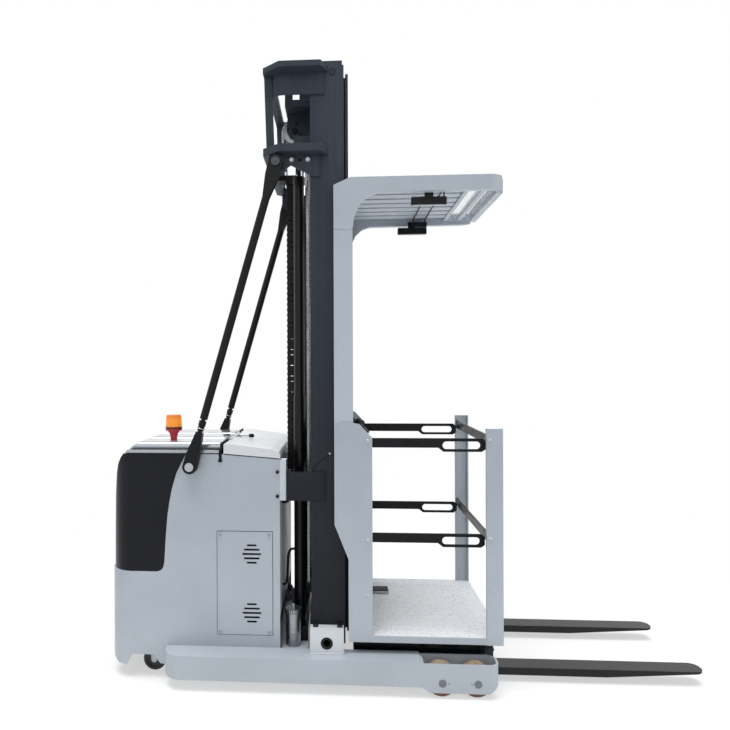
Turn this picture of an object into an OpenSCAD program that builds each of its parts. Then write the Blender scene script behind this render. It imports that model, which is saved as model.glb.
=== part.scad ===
// Order picker truck: power unit, straddle legs, two-stage mast and a lifting operator's cab with forks.
// Millimetres. +X points along the forks, +Y is the driver's left, +Z is up.
// The origin is on the floor, midway between the rear of the body and the fork tips.

/* [Overall] */
// Rear face of the body, behind the origin
rear_x = 1500; // [1450:5:1600]
// Fork tips, ahead of the origin
fork_tip_x = 1500; // [1300:5:1700]
// Height of the fixed mast
mast_top_z = 3131; // [2900:1:3400]

/* [Straddle legs] */
// Gap between the fixed mast's outer face and a leg
leg_gap = 7; // [6:1:20]
// Width of one leg
leg_w = 118; // [116:1:122]
// Underside of the legs above the floor
leg_z = 57; // [45:1:65]
// Top of the legs above the floor
leg_top = 173; // [165:1:176]
// Thickness of the plates beside the load wheels
wheel_box_wall = 10; // [8:1:12]
// Diameter of a load wheel
load_wheel_d = 150; // [140:1:156]
// Width of a load wheel
load_wheel_w = 74; // [60:1:76]
// Distance between the two wheels of one leg
tandem_gap = 168; // [162:1:180]

/* [Power unit] */
// Top edge of the body's side
body_top = 1148; // [1100:1:1200]
// Sheet thickness of the body
body_wall = 6; // [4:0.5:10]
// Front wall of the body, behind the mast
body_front_x = -607; // [-640:1:-600]
// Radius of the body's rear corners
body_corner_r = 130; // [80:1:160]
// Height of the hood's ribs above the body's side
hood_rise = 55; // [52:1:80]
// Diameter of the drive wheel
drive_wheel_d = 230; // [200:2:240]
// Diameter of a caster wheel
caster_d = 120; // [100:1:122]

/* [Mast] */
// Width over the fixed mast
mast_w = 730; // [660:1:800]
// Depth of a fixed rail, front to back
rail_depth = 170; // [160:1:176]
// Thickness of a rail's web
rail_web = 12; // [8:1:14]
// Thickness of a rail's flanges
rail_flange = 14; // [10:1:16]
// Rod diameter of the lift cylinders
rod_d = 36; // [30:1:40]
// Outer diameter of the lift cylinders
cylinder_d = 56; // [52:1:64]
// Diameter of the stay tubes
stay_tube_d = 40; // [30:1:46]

/* [Cab] */
// Width of the guard's posts
post_w = 37.7; // [34:0.1:60]
// Height of the floor when lowered
floor_z = 262; // [255:1:275]
// Front edge of the platform
cab_front_x = 495; // [480:1:520]
// Underside of the overhead guard
guard_z = 2460; // [2400:5:2600]
// Front edge of the overhead guard
guard_front_x = 518; // [500:1:560]
// Height of the guard's rim
guard_rim_h = 71; // [60:1:90]
// Height of the front posts' tops
post_top_z = 1285; // [1250:1:1350]
// Height of the upper side arms' pivots
arm_upper_z = 1212; // [1180:1:1220]
// Height of the lower side arms' pivots
arm_lower_z = 735; // [700:1:760]
// Thickness of the side arms
arm_t = 8; // [6:1:10]

/* [Forks] */
// Distance between the fork blades' middles
fork_spread = 512; // [460:2:540]
// Width of a fork blade
fork_w = 100; // [80:1:120]
// Thickness of a fork blade
fork_t = 38; // [30:1:45]
// Underside of the forks above the floor
fork_z = 35; // [30:1:50]

/* [Hidden] */
$fn = 48;
skin = 6;               // sheet thickness of the cab's panels
seat_gap = 0.3;         // between faces that seat on each other
pin_play = 0.4;         // radial play of a pin in its hole

mast_half = mast_w / 2;
leg_in = mast_half + leg_gap;
leg_out = leg_in + leg_w;
leg_mid = (leg_out + leg_in) / 2;
leg_rear_x = -1185;
leg_rear_r = 95;
leg_nose_r = 45;
wheel_box_x0 = 84;
wheel_box_x1 = 454;
wheel_box_top = leg_top - 8;
wheel_box_z = 28;
load_axle_x = [351 - tandem_gap, 351];
load_axle_z = load_wheel_d / 2;
load_axle_d = 24;

body_half = leg_in - seat_gap;
body_bottom = 68;
deck_z = drive_wheel_d + 20;      // plate inside the body that carries the drive and the casters
deck_t = 16;
lid_rear_x = -897;
hood_front_x = -912;
drive_x = -1265;
caster_x = -1247;
caster_y = body_half - 105.7;
caster_trail = 30;
caster_w = 40;

rail_x1 = -278;
rail_x0 = rail_x1 - rail_depth;
rail_z0 = 200;
rail_lip = 70;                    // how far the flanges reach in from the web's outer face
inner_x0 = -437;                  // inner rail, set forward of the fixed one
inner_x1 = -256;
inner_out = mast_half - 43;                  // outer tips of the inner rail's flanges
inner_in = mast_half - 135;
inner_web = 12;
inner_z0 = 245;
inner_z1 = mast_top_z - 50;
head_top = mast_top_z - 135;
cylinder_x = -516;
cylinder_y = inner_in - 40;
cylinder_z0 = leg_top + 63;
pot_y = cylinder_y + 110;
cylinder_top = mast_top_z - 531;
rod_top = mast_top_z - 371;
chain_x = -474;
chain_rear_x = -606;
chain_y = inner_in - 110;
sheave_z = mast_top_z - 266;
sheave_d = chain_x - chain_rear_x - 8;
post_x0 = -331;
post_x1 = -237;
post_in = mast_half + 6;
cab_half = post_in + post_w + seat_gap + skin;
floor_x0 = -240;
fork_y = fork_spread / 2;
arm_pivot_x = -165;
arm_tip_x = 412;
arm_y = [cab_half - 25, cab_half - 46];   // outer faces of the upper and the lower arms
arm_pin_d = 16;
stay_low = [-1058, body_top - 59];
stay_high = [-618, mast_top_z - 517];
stay_y = leg_in + 13;
carriage_y = inner_in - 16;
lid_pin_x = lid_rear_x - 2;
lid_pin_z = body_top + 50;

// Helpers

// Box between two corners
module span(x0, x1, y0, y1, z0, z1) {
    translate([x0, y0, z0])
        cube([x1 - x0, y1 - y0, z1 - z0]);
}

// A piece on the right side and its mirror image on the left
module both_sides() {
    children();
    mirror([0, 1, 0])
        children();
}

// An outline drawn in X and Z, given a thickness from y0 to y1
module side_cut(y0, y1) {
    translate([0, y1, 0])
        rotate([90, 0, 0])
            linear_extrude(y1 - y0)
                children();
}

// Round bar along Y between y0 and y1
module cross_bar(x, z, r, y0, y1) {
    translate([x, y1, z])
        rotate([90, 0, 0])
            cylinder(r = r, h = y1 - y0);
}

// Rectangle with round corners
module round_rect(x0, x1, y0, y1, r) {
    union() {
        translate([x0 + r, y0])
            square([x1 - x0 - 2 * r, y1 - y0]);
        translate([x0, y0 + r])
            square([x1 - x0, y1 - y0 - 2 * r]);
        for (x = [x0 + r, x1 - r])
            for (y = [y0 + r, y1 - r])
                translate([x, y])
                    circle(r = r);
    }
}

// Standing part

// One leg's plan: its rear outer corner and its nose are rounded
module leg_plan() {
    difference() {
        translate([leg_rear_x, -leg_out])
            square([wheel_box_x1 - leg_rear_x, leg_w]);
        difference() {
            translate([leg_rear_x - 1, -leg_out - 1])
                square([leg_rear_r + 1, leg_rear_r + 1]);
            translate([leg_rear_x + leg_rear_r, -leg_out + leg_rear_r])
                circle(r = leg_rear_r);
        }
        for (s = [0, 1])
            translate([0, -2 * leg_mid * s])
                mirror([0, s])
                    difference() {
                        translate([wheel_box_x1 - leg_nose_r, -leg_out - 1])
                            square([leg_nose_r + 1, leg_nose_r + 1]);
                        translate([wheel_box_x1 - leg_nose_r, -leg_out + leg_nose_r])
                            circle(r = leg_nose_r);
                    }
    }
}

// Side view of a leg: the wheel box hangs lower and its top is open
module leg_side() {
    polygon([
        [leg_rear_x, leg_z], [wheel_box_x0, leg_z - 4], [wheel_box_x0 + 45, wheel_box_z],
        [wheel_box_x1 - 50, wheel_box_z], [wheel_box_x1, wheel_box_z + 34],
        [wheel_box_x1, wheel_box_top], [wheel_box_x0, wheel_box_top],
        [wheel_box_x0, leg_top], [leg_rear_x, leg_top]
    ]);
}

module base_frame() {
    color("lightsteelblue") {
        both_sides()
            difference() {
                intersection() {
                    linear_extrude(leg_top)
                        leg_plan();
                    side_cut(-leg_out, -leg_in)
                        leg_side();
                }
                span(wheel_box_x0 + 12, wheel_box_x1 - leg_nose_r, -leg_out + wheel_box_wall,
                    -leg_in - wheel_box_wall, 0, leg_top + 1);
                span(wheel_box_x1 - leg_nose_r - 1, wheel_box_x1 - wheel_box_wall,
                    -leg_out + leg_nose_r, -leg_in - leg_nose_r, 0, leg_top + 1);
                for (s = [-1, 1])
                    translate([wheel_box_x1 - leg_nose_r, -leg_mid + s * (leg_w / 2 - leg_nose_r), -1])
                        cylinder(r = leg_nose_r - wheel_box_wall, h = leg_top + 2);
                for (x = load_axle_x)
                    cross_bar(x, load_axle_z, load_axle_d / 2 + pin_play, -leg_out - 1, -leg_in + 1);
            }
        // beam that joins the legs under the mast
        span(-600, -470, -leg_in - 1, leg_in + 1, leg_z + 5, leg_top - 12);
        // floor of the power unit, its bulkhead and the deck over the rear wheels
        difference() {
            union() {
                span(-1110, -560, 0.6 - body_half + body_wall, body_half - body_wall - 0.6, 110, 130);
                span(-1110, -1098, 0.6 - body_half + body_wall, body_half - body_wall - 0.6, 110,
                    deck_z + 1);
                span(-1368, -1098, 0.6 - body_half + body_wall, body_half - body_wall - 0.6,
                    deck_z, deck_z + deck_t);
            }
            translate([drive_x, 0, deck_z - 1])
                cylinder(r = 60 + pin_play, h = deck_t + 2);
            for (s = [-1, 1])
                translate([caster_x, s * caster_y, deck_z - 1])
                    cylinder(r = 12 + pin_play, h = deck_t + 2);
        }
    }
}

module wheel_axles() {
    color("gray")
        both_sides()
            for (x = load_axle_x)
                cross_bar(x, load_axle_z, load_axle_d / 2, -leg_out - 1.5, -leg_in + 1.5);
}

// Plan of the body between two half widths, with round rear corners
module body_plan(x_back, half, x_front, r) {
    union() {
        translate([x_back + r, -half])
            square([x_front - x_back - r, 2 * half]);
        translate([x_back, -half + r])
            square([r + 1, 2 * (half - r)]);
        for (s = [-1, 1])
            translate([x_back + r, s * (half - r)])
                circle(r = r);
    }
}

// Side view of the body, with the arch over the rear wheels
module body_side() {
    polygon([
        [-rear_x, 104], [-1478, 82], [-1450, body_bottom], [-1400, body_bottom], [-1368, 122], [-1258, 122],
        [-1222, body_bottom + 10], [-1150, body_bottom], [body_front_x, body_bottom + 4],
        [body_front_x, body_top - 23], [-899, body_top], [-rear_x, body_top]
    ]);
}

// Region of the black cover: it wraps the upper rear of the body
module cover_region(grow) {
    polygon([
        [-rear_x - 10, 547 - grow], [-1240 + grow, 547 - grow], [-1219 + grow, 553 - grow / 2],
        [-1206 + grow, 568], [-1200 + grow, 600], [-1193 + grow, 720], [-1184 + grow, 830],
        [-1173 + grow, body_top - 243], [-1158 + grow, body_top - 170], [-1136 + grow, body_top - 98],
        [-1108 + grow, body_top - 40],
        [-1084 + grow, body_top + 5], [-rear_x - 10, body_top + 5]
    ]);
}

module body_shell() {
    color("lightsteelblue")
        difference() {
            intersection() {
                translate([0, 0, body_bottom])
                    linear_extrude(body_top - body_bottom)
                        body_plan(-rear_x, body_half, body_front_x, body_corner_r);
                side_cut(-body_half, body_half)
                    body_side();
            }
            translate([0, 0, body_bottom - 1])
                linear_extrude(body_top)
                    body_plan(body_wall - rear_x, body_half - body_wall, body_front_x - body_wall,
                        body_corner_r - body_wall);
            // open lower front, where the hoses and the pot are
            span(body_front_x - body_wall - 1, body_front_x + 1, 5 - body_half, body_half - 5, 0, 330);
            side_cut(-body_half - 1, body_half + 1)
                cover_region(0.3);
            // openings behind the access panels
            both_sides()
                span(-900, -670, -body_half - 1, body_wall + 1 - body_half, 262, 730);
        }
}

// Side view of the cover: a step low down and a round upper edge
module cover_side(x, drop, over) {
    polygon([
        [x, 547 - over], [x, 626 - drop], [x + 10, 642 - drop], [x + 21, body_top - 218 - drop],
        [x + 31, body_top - 108 - drop], [x + 42, body_top - 58 - drop], [x + 60, body_top - 22 - drop],
        [x + 78 + 0.6 * over, body_top + over], [-1050 + over, body_top + over], [-1050 + over, 547 - over]
    ]);
}

module rear_cover() {
    color("black")
        difference() {
            intersection() {
                translate([0, 0, 540])
                    linear_extrude(body_top - 540)
                        body_plan(6 - rear_x, body_half - 1, -1050, body_corner_r);
                side_cut(-body_half, body_half)
                    cover_side(6 - rear_x, 0, 0);
                side_cut(-body_half, body_half)
                    cover_region(0);
            }
            intersection() {
                translate([0, 0, 530])
                    linear_extrude(body_top)
                        body_plan(12 - rear_x, body_half - 7, -1040, body_corner_r - 6);
                side_cut(-body_half, body_half)
                    cover_side(14 - rear_x, 3, 10);
            }
        }
}

// Silvery hood with three long ribs that turn down at the rear
module hood() {
    rib_w = 2 * (body_half - 30) / 3 - 34;
    rib_step = 2 * (body_half - 30) / 3;
    color("silver")
        union() {
            difference() {
                intersection() {
                    translate([hood_front_x, 0, body_top + seat_gap])
                        rotate([90, 0, -90])
                            linear_extrude(530)
                                union() {
                                    translate([-body_half + 2, 0])
                                        square([2 * body_half - 4, 20]);
                                    for (i = [-1, 0, 1])
                                        round_rect(i * rib_step - rib_w / 2, i * rib_step + rib_w / 2,
                                            1, hood_rise, 24);
                                }
                    side_cut(-body_half, body_half)
                        polygon([
                            [hood_front_x, body_top], [hood_front_x, body_top + 60],
                            [182 - rear_x, body_top + 60], [154 - rear_x, body_top + 53],
                            [128 - rear_x, body_top + 39], [107 - rear_x, body_top + 20],
                            [92 - rear_x, body_top + seat_gap]
                        ]);
                }
            }
            // lugs that hold the lid's hinge pin
            difference() {
                for (y = [-171, 151])
                    span(hood_front_x - 14, hood_front_x + 14, y, y + 20, body_top + 30, body_top + 61);
                cross_bar(lid_pin_x, lid_pin_z, 4 + pin_play, -200, 200);
            }
        }
}

module battery_lid() {
    color("gainsboro")
        union() {
            difference() {
                side_cut(-body_half, body_half)
                    polygon([
                        [lid_rear_x + 4, body_top + 0.3], [lid_rear_x + 4, body_top + 50],
                        [lid_rear_x + 30, body_top + 52], [-650, body_top + 26],
                        [body_front_x - 4, body_top + 12], [body_front_x + 2, body_top - 4],
                        [body_front_x + 2, body_top - 22.7]
                    ]);
                for (y = [-173, 149])
                    span(lid_rear_x, lid_rear_x + 12, y, y + 24, body_top, body_top + 70);
                // hollow underneath
                side_cut(-body_half + 14, body_half - 14)
                    polygon([
                        [lid_rear_x + 20, body_top - 20], [lid_rear_x + 20, body_top + 34],
                        [-655, body_top + 12], [-630, body_top], [-630, body_top - 40]
                    ]);
            }
            cross_bar(lid_pin_x, lid_pin_z, 8, -148, 148);
            cross_bar(lid_pin_x, lid_pin_z, 4, -173, 173);
        }
}

// Ventilated panels, screwed over openings in the body's sides
module access_panels() {
    slot_len = [49, 79, 95, 79, 48];
    color("lightsteelblue")
        both_sides()
            difference() {
                union() {
                    span(-926, -645, -body_half - 2.3, -body_half - seat_gap, 236, 757);
                    for (x = [-910, -661])
                        for (z = [252, 741])
                            cross_bar(x, z, 9, -body_half - 6, -body_half - 2);
                }
                for (zc = [346, 644])
                    for (i = [0:4])
                        span(-750 - slot_len[i] / 2, -750 + slot_len[i] / 2, -body_half - 10, 1 - body_half,
                            zc - 44 + 22 * i - 5, zc - 44 + 22 * i + 5);
            }
}

module battery() {
    color("dimgray")
        union() {
            span(-880, -640, 50 - body_half, body_half - 50, 130.3, 760);
            for (y = [70 - body_half, body_half - 90])
                span(-880, -640, y, y + 20, 760, 775);
        }
}

beacon_x = -1193;
beacon_y = 167 - body_half;
beacon_z = body_top + hood_rise;

module beacon_base() {
    color("crimson")
        translate([beacon_x, beacon_y, beacon_z + 0.6])
            union() {
                cylinder(r = 15, h = 34);
                translate([0, 0, 30])
                    cylinder(r1 = 15, r2 = 23, h = 12);
                translate([0, 0, 42])
                    cylinder(r = 23, h = 6);
                translate([0, 0, 48])
                    cylinder(r = 44, h = 8);
            }
}

module beacon_lens() {
    color("orange")
        translate([beacon_x, beacon_y, beacon_z + 57])
            difference() {
                cylinder(r1 = 42, r2 = 38, h = 76);
                translate([0, 0, -1])
                    cylinder(r1 = 38.5, r2 = 34.5, h = 73);
            }
}

// Two channels, open towards each other
module mast_rails() {
    color("dimgray")
        both_sides()
            union() {
                difference() {
                    span(rail_x0, rail_x1, -mast_half, rail_lip - mast_half, rail_z0, mast_top_z);
                    span(rail_x0 + rail_flange, rail_x1 - rail_flange, rail_web - mast_half,
                        rail_lip - mast_half + 1, rail_z0 - 1, mast_top_z + 1);
                    span(rail_x1 - 8, rail_x1 + 1, -mast_half - 1, rail_lip - mast_half + 1,
                        mast_top_z - 22, mast_top_z + 1);
                    // ring round the flush screw near the top
                    difference() {
                        cross_bar(rail_x1 - 59, mast_top_z - 59, 22, -mast_half - 1, -mast_half + 3);
                        cross_bar(rail_x1 - 59, mast_top_z - 59, 13, -mast_half - 2, -mast_half + 4);
                    }
                }
            }
}

hoop_half = mast_half + 70;
hoop_high_z = mast_top_z - 53;
hoop_high_t = 28;
hoop_low_z = mast_top_z - 472;
hoop_low_t = 38;

// Plan of one hoop: a collar round the rear of the mast
module hoop_plan() {
    difference() {
        polygon([
            [-343, mast_half - 24], [-393, hoop_half], [-600, hoop_half], [-687, hoop_half - 75],
            [-687, 75 - hoop_half], [-600, -hoop_half], [-393, -hoop_half], [-343, 24 - mast_half]
        ]);
        translate([-640, -mast_half + 25])
            square([400, 2 * mast_half - 50]);
        // seat round the rails
        translate([rail_x0 - seat_gap, -mast_half - seat_gap])
            square([400, 2 * mast_half + 2 * seat_gap]);
    }
}

// Slanted bar between two points of a side view
module slant(a, b, w, y0, y1) {
    bar_len = norm(b - a);
    ang = atan2(b[1] - a[1], b[0] - a[0]);
    translate([a[0], 0, a[1]])
        rotate([0, -ang, 0])
            span(0, bar_len, y0, y1, -w / 2, w / 2);
}

skirt_x0 = -583;
skirt_r = 62;

module mast_ties() {
    color("dimgray")
        union() {
            translate([0, 0, hoop_high_z])
                linear_extrude(hoop_high_t)
                    hoop_plan();
            translate([0, 0, hoop_low_z])
                linear_extrude(hoop_low_t)
                    hoop_plan();
            both_sides() {
                // skirt under the upper hoop
                span(skirt_x0, -378, -mast_half - 8.3, -mast_half - seat_gap, hoop_high_z - 114,
                    hoop_high_z + 1);
                translate([skirt_x0, skirt_r - mast_half - 8.3, hoop_high_z - 114])
                    difference() {
                        cylinder(r = skirt_r, h = 115);
                        translate([0, 0, -1])
                            cylinder(r = skirt_r - 8, h = 117);
                        translate([0, -skirt_r - 10, -1])
                            cube([skirt_r + 20, 2 * skirt_r + 20, 117]);
                        translate([-skirt_r - 10, 0, -1])
                            cube([2 * skirt_r + 20, skirt_r + 20, 117]);
                    }
                // bars from the upper hoop down to the lower one
                slant([-664, hoop_high_z + 3], [-652, hoop_low_z + 36], 40, 100 - hoop_half,
                    112 - hoop_half);
                // brackets that hold the stays
                side_cut(-mast_half - 14, -mast_half - seat_gap)
                    polygon([
                        [-400, hoop_low_z - 112], [-400, hoop_low_z + 1], [-655, hoop_low_z + 1],
                        [-655, hoop_low_z - 66], [-634, hoop_low_z - 88], [-602, hoop_low_z - 88],
                        [-545, hoop_low_z - 52], [-430, hoop_low_z - 112]
                    ]);
            }
            // anchor of the chains' rear ends
            for (s = [-1, 1])
                span(-660, -588, s * chain_y - 20, s * chain_y + 20, hoop_low_z, hoop_low_z + 16);
        }
}

module mast_feet() {
    color("gainsboro")
        both_sides()
            union() {
                difference() {
                    span(-454, -287, -leg_in - 58, -mast_half - seat_gap, leg_top, leg_top + 119);
                    cross_bar(-371, leg_top + 53, 17, -leg_in - 59, -mast_half);
                }
            }
    color("black")
        both_sides()
            for (x = [-440, -320])
                span(x, x + 26, -mast_half - 35, -mast_half - seat_gap, leg_top + 119, leg_top + 129);
}

// Clamps between the body's front and the rails
module mast_clamps() {
    color("dimgray")
        both_sides()
            union() {
                difference() {
                    span(-575, -377, -mast_half - 12, -mast_half + 60, body_top - 232, body_top - 87);
                    span(rail_x0 - seat_gap, rail_x1, -mast_half - seat_gap, 0, 900, 1100);
                    span(-563, rail_x0 - 12, -mast_half, 0, 900, 1100);
                }
                span(body_front_x + seat_gap, -574, -mast_half - 6, -mast_half + 60,
                    body_top - 232, body_top - 28);
            }
}

module lift_cylinders() {
    color("dimgray")
        both_sides()
            translate([cylinder_x, -cylinder_y, 0])
                difference() {
                    union() {
                        translate([0, 0, cylinder_z0])
                            cylinder(r = cylinder_d / 2 + 3, h = 1200);
                        translate([0, 0, cylinder_z0 + 1195])
                            cylinder(r = cylinder_d / 2, h = cylinder_top - cylinder_z0 - 1195);
                        translate([0, 0, cylinder_top - 40])
                            cylinder(r = cylinder_d / 2 + 4, h = 40);
                    }
                    translate([0, 0, cylinder_z0 + 20])
                        cylinder(r = rod_d / 2 + pin_play, h = cylinder_top);
                }
    // feet of the cylinders on the cross beam
    color("dimgray")
        span(-566, -470, -cylinder_y - 70, cylinder_y + 70, leg_top - 12, cylinder_z0);
}

stay_dx = stay_high[0] - stay_low[0];
stay_dz = stay_high[1] - stay_low[1];
stay_len = norm([stay_dx, stay_dz]);
stay_lean = atan2(stay_dx, stay_dz);
stay_pin_r = 14;

// Stay along its own axis, from the lower pin at zero up to the upper pin
module one_stay() {
    difference() {
        union() {
            for (e = [0, 1])
                translate([0, 0, e * stay_len])
                    mirror([0, 0, e])
                        difference() {
                            union() {
                                cross_bar(0, 0, 36, -20, 20);
                                side_cut(-20, 20)
                                    polygon([[-36, 0], [36, 0], [34, 70], [17, 180], [-17, 180],
                                        [-34, 70]]);
                            }
                            // slot of the clevis
                            span(-50, 50, -8, 8, -50, 52);
                        }
            translate([0, 0, 175])
                cylinder(r = 11, h = 80);
            translate([0, 0, 214])
                cylinder(r = 19, h = 26, $fn = 6);
            translate([0, 0, 250])
                cylinder(r = stay_tube_d / 2, h = stay_len - 425);
        }
        cross_bar(0, 0, stay_pin_r + pin_play, -60, 60);
        cross_bar(0, stay_len, stay_pin_r + pin_play, -60, 60);
    }
}

module stay_rods() {
    color("black")
        both_sides()
            translate([stay_low[0], -stay_y - 14.3, stay_low[1]])
                rotate([0, stay_lean, 0])
                    one_stay();
}

// Pins of the stays, with the lugs they go through
module stay_pins() {
    color("silver")
        both_sides() {
            cross_bar(stay_low[0], stay_low[1], stay_pin_r, -stay_y - 44, -body_half - seat_gap);
            cross_bar(stay_low[0], stay_low[1], 22, -stay_y - 44, -stay_y - 35);
            cross_bar(stay_high[0], stay_high[1], stay_pin_r, -stay_y - 40, -mast_half - 14.3);
            cross_bar(stay_high[0], stay_high[1], 22, -stay_y - 44, -stay_y - 35);
        }
}

module hydraulic_pot() {
    color("silver")
        translate([-545, -pot_y, leg_top - 12 + seat_gap])
            difference() {
                cylinder(r = 38, h = 165);
                translate([0, 0, 150])
                    cylinder(r = 30, h = 20);
            }
    color("black")
        translate([-545, -pot_y, leg_top - 12 + 165.6])
            union() {
                cylinder(r = 42, h = 22);
                translate([0, 0, 20])
                    cylinder(r = 9, h = 26);
            }
}

// Round hose along a list of points
module hose(path, r, n) {
    count = len(path);
    rings = [for (i = [0:count - 1])
        let (
            a = path[max(i - 1, 0)],
            b = path[min(i + 1, count - 1)],
            t = (b - a) / norm(b - a),
            u = cross(t, [0, 1, 0.01]) / norm(cross(t, [0, 1, 0.01])),
            v = cross(t, u)
        )
        for (k = [0:n - 1])
            path[i] + r * (cos(360 * k / n) * u + sin(360 * k / n) * v)];
    sides = [for (i = [0:count - 2])
        for (k = [0:n - 1])
            [i * n + k, (i + 1) * n + k, (i + 1) * n + (k + 1) % n, i * n + (k + 1) % n]];
    polyhedron(
        points = rings,
        faces = concat(sides, [[for (k = [0:n - 1]) k]],
            [[for (k = [n - 1:-1:0]) (count - 1) * n + k]]));
}

// Points of a smooth loop from a to b that hangs through the handle points
function bend(a, p, q, b, steps) = [for (i = [0:steps])
    let (t = i / steps)
        pow(1 - t, 3) * a + 3 * t * pow(1 - t, 2) * p + 3 * t * t * (1 - t) * q + t * t * t * b];

// The same path with a straight piece a before its start and b after its end
function lead(a, path, b) = concat([path[0] + a], path, [path[len(path) - 1] + b]);

cylinder_back = cylinder_x - cylinder_d / 2 - 3.4;

module hoses() {
    color("black")
        union() {
            for (i = [0:2])
                hose(lead([-9.7, 0, 0], bend([body_front_x + 10, 50 - pot_y + 26 * i, 880],
                    [-560, 50 - pot_y + 26 * i, 880], [-571, -12 + 12 * i, 860],
                    [-570, -12 + 12 * i, 1040], 16), [0, 0, 10]), 5.5, 8);
            hose(lead([0, 0, -10], bend([-545, -pot_y, leg_top + 210.4], [-545, -pot_y, 520],
                [-600, -cylinder_y, 400], [cylinder_back - 10, -cylinder_y, 400], 18), [10, 0, 0]), 8, 8);
            hose(lead([-9.7, 0, 0], bend([body_front_x + 10, 85 - pot_y, 440], [-565, 85 - pot_y, 440],
                [-600, -cylinder_y, 620], [cylinder_back - 10, -cylinder_y, 620], 14), [10, 0, 0]), 7, 8);
        }
}

// Cable chain that hangs behind the mast
module cable_chain() {
    color("black")
        difference() {
            union() {
                span(-593, -547, -34, 34, 1020, hoop_low_z - 50);
                span(-600, -540, -40, 40, hoop_low_z - 50, hoop_low_z - 30);
                span(-650, -540, -40, 40, hoop_low_z - 30, hoop_low_z - 0.3);
            }
            for (z = [1032:50:hoop_low_z - 90])
                span(-580, -560, -60, 60, z, z + 28);
            span(-586, -554, -26, 26, 1010, hoop_low_z - 60);
        }
}

// Inner mast

// Rails with an outer and an inner channel, their rollers and the lower tie
module inner_rails() {
    color("dimgray")
        union() {
            both_sides() {
                difference() {
                    span(inner_x0 + 11, inner_x1, -inner_out, -inner_in, inner_z0, inner_z1);
                    span(inner_x0 + 25, inner_x1 - 14, -inner_out - 1,
                        -(inner_out + inner_in) / 2 - inner_web / 2,
                        inner_z0 - 1, inner_z1 + 1);
                    span(inner_x0 + 25, inner_x1 - 14, -(inner_out + inner_in) / 2 + inner_web / 2,
                        -inner_in + 1,
                        inner_z0 - 1, inner_z1 + 1);
                }
                for (z = [330, 760])
                    cross_bar((rail_x0 + rail_x1) / 2, z, rail_depth / 2 - rail_flange - 3,
                        -mast_half + rail_web + 5, -(inner_out + inner_in) / 2);
            }
            // lower tie between the rails, with the stops that the carriage rests on
            span(-460, inner_x0 + 11.5, -inner_in - 40, inner_in + 40, inner_z0, inner_z0 + 32);
            both_sides()
                span(inner_x0 + 11, -340, -carriage_y, -carriage_y + 14, inner_z0 + 17, 299.7);
        }
}

module lift_head() {
    color("dimgray")
        union() {
            span(-452, inner_x0 + 10.7, -inner_in - 55, inner_in + 55, head_top - 185, head_top);
            span(-586, -449, -inner_in - 5, inner_in + 5, head_top - 35, head_top);
            for (s = [-1, 1]) {
                // lugs over the lift rods
                span(-542, -449, s * cylinder_y - 28, s * cylinder_y + 28, rod_top + seat_gap,
                    rod_top + 50);
                span(-455, -449, s * cylinder_y - 28, s * cylinder_y + 28, rod_top + seat_gap,
                    head_top - 25);
                // uprights on the head's top plate
                for (x = [[-586, -545], [-509, -452]])
                    span(x[0], x[1], s * (inner_in - 7) - 6, s * (inner_in - 7) + 6, head_top - 1,
                        head_top + 66);
                // cheeks of the sheaves and their axle
                for (c = [-1, 1])
                    difference() {
                        side_cut(s * chain_y + c * 21 - 4, s * chain_y + c * 21 + 4)
                            polygon([
                                [-449, sheave_z + 110], [-449, sheave_z - 62], [-478, sheave_z - 22],
                                [-538, sheave_z - 50], [-566, sheave_z - 36], [-584, sheave_z - 2],
                                [-579, sheave_z + 76], [-575, sheave_z + 110]
                            ]);
                    }
                cross_bar((chain_x + chain_rear_x) / 2, sheave_z, 14, s * chain_y - 30, s * chain_y + 30);
            }
        }
}

module lift_rods() {
    color("silver")
        both_sides()
            translate([cylinder_x, -cylinder_y, cylinder_z0 + 25])
                cylinder(r = rod_d / 2, h = rod_top - cylinder_z0 - 25);
}

module sheaves() {
    color("gray")
        for (s = [-1, 1])
            difference() {
                union() {
                    cross_bar((chain_x + chain_rear_x) / 2, sheave_z, sheave_d / 2 - 8,
                        s * chain_y - 13, s * chain_y + 13);
                    for (c = [-1, 1])
                        cross_bar((chain_x + chain_rear_x) / 2, sheave_z, sheave_d / 2 + 4,
                            s * chain_y + c * 14.5 - 2, s * chain_y + c * 14.5 + 2);
                }
                cross_bar((chain_x + chain_rear_x) / 2, sheave_z, 14 + pin_play, s * chain_y - 40,
                    s * chain_y + 40);
            }
}

// Leaf chains: over the sheave, down to the carriage in front and to the anchor behind
module lift_chains() {
    pitch = 17;
    chain_r = (chain_x - chain_rear_x) / 2;
    color("gray")
        for (s = [-1, 1])
            translate([0, s * chain_y, 0])
                union() {
                    span(chain_x - 4, chain_x + 4, -8, 8, 392, sheave_z);
                    span(chain_rear_x - 4, chain_rear_x + 4, -8, 8, hoop_low_z + 16.3, sheave_z);
                    for (z = [400:pitch * 2:sheave_z - 10])
                        span(chain_x - 10, chain_x + 10, -10, 10, z, z + pitch);
                    for (z = [hoop_low_z + 22:pitch * 2:sheave_z - 10])
                        span(chain_rear_x - 10, chain_rear_x + 10, -10, 10, z, z + pitch);
                    translate([(chain_x + chain_rear_x) / 2, 0, sheave_z])
                        rotate([90, 0, 0])
                            intersection() {
                                difference() {
                                    cylinder(r = chain_r + 4, h = 16, center = true);
                                    cylinder(r = chain_r - 4, h = 17, center = true);
                                }
                                translate([-100, 0, -20])
                                    cube([200, 100, 40]);
                            }
                }
}

// Cab

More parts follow.
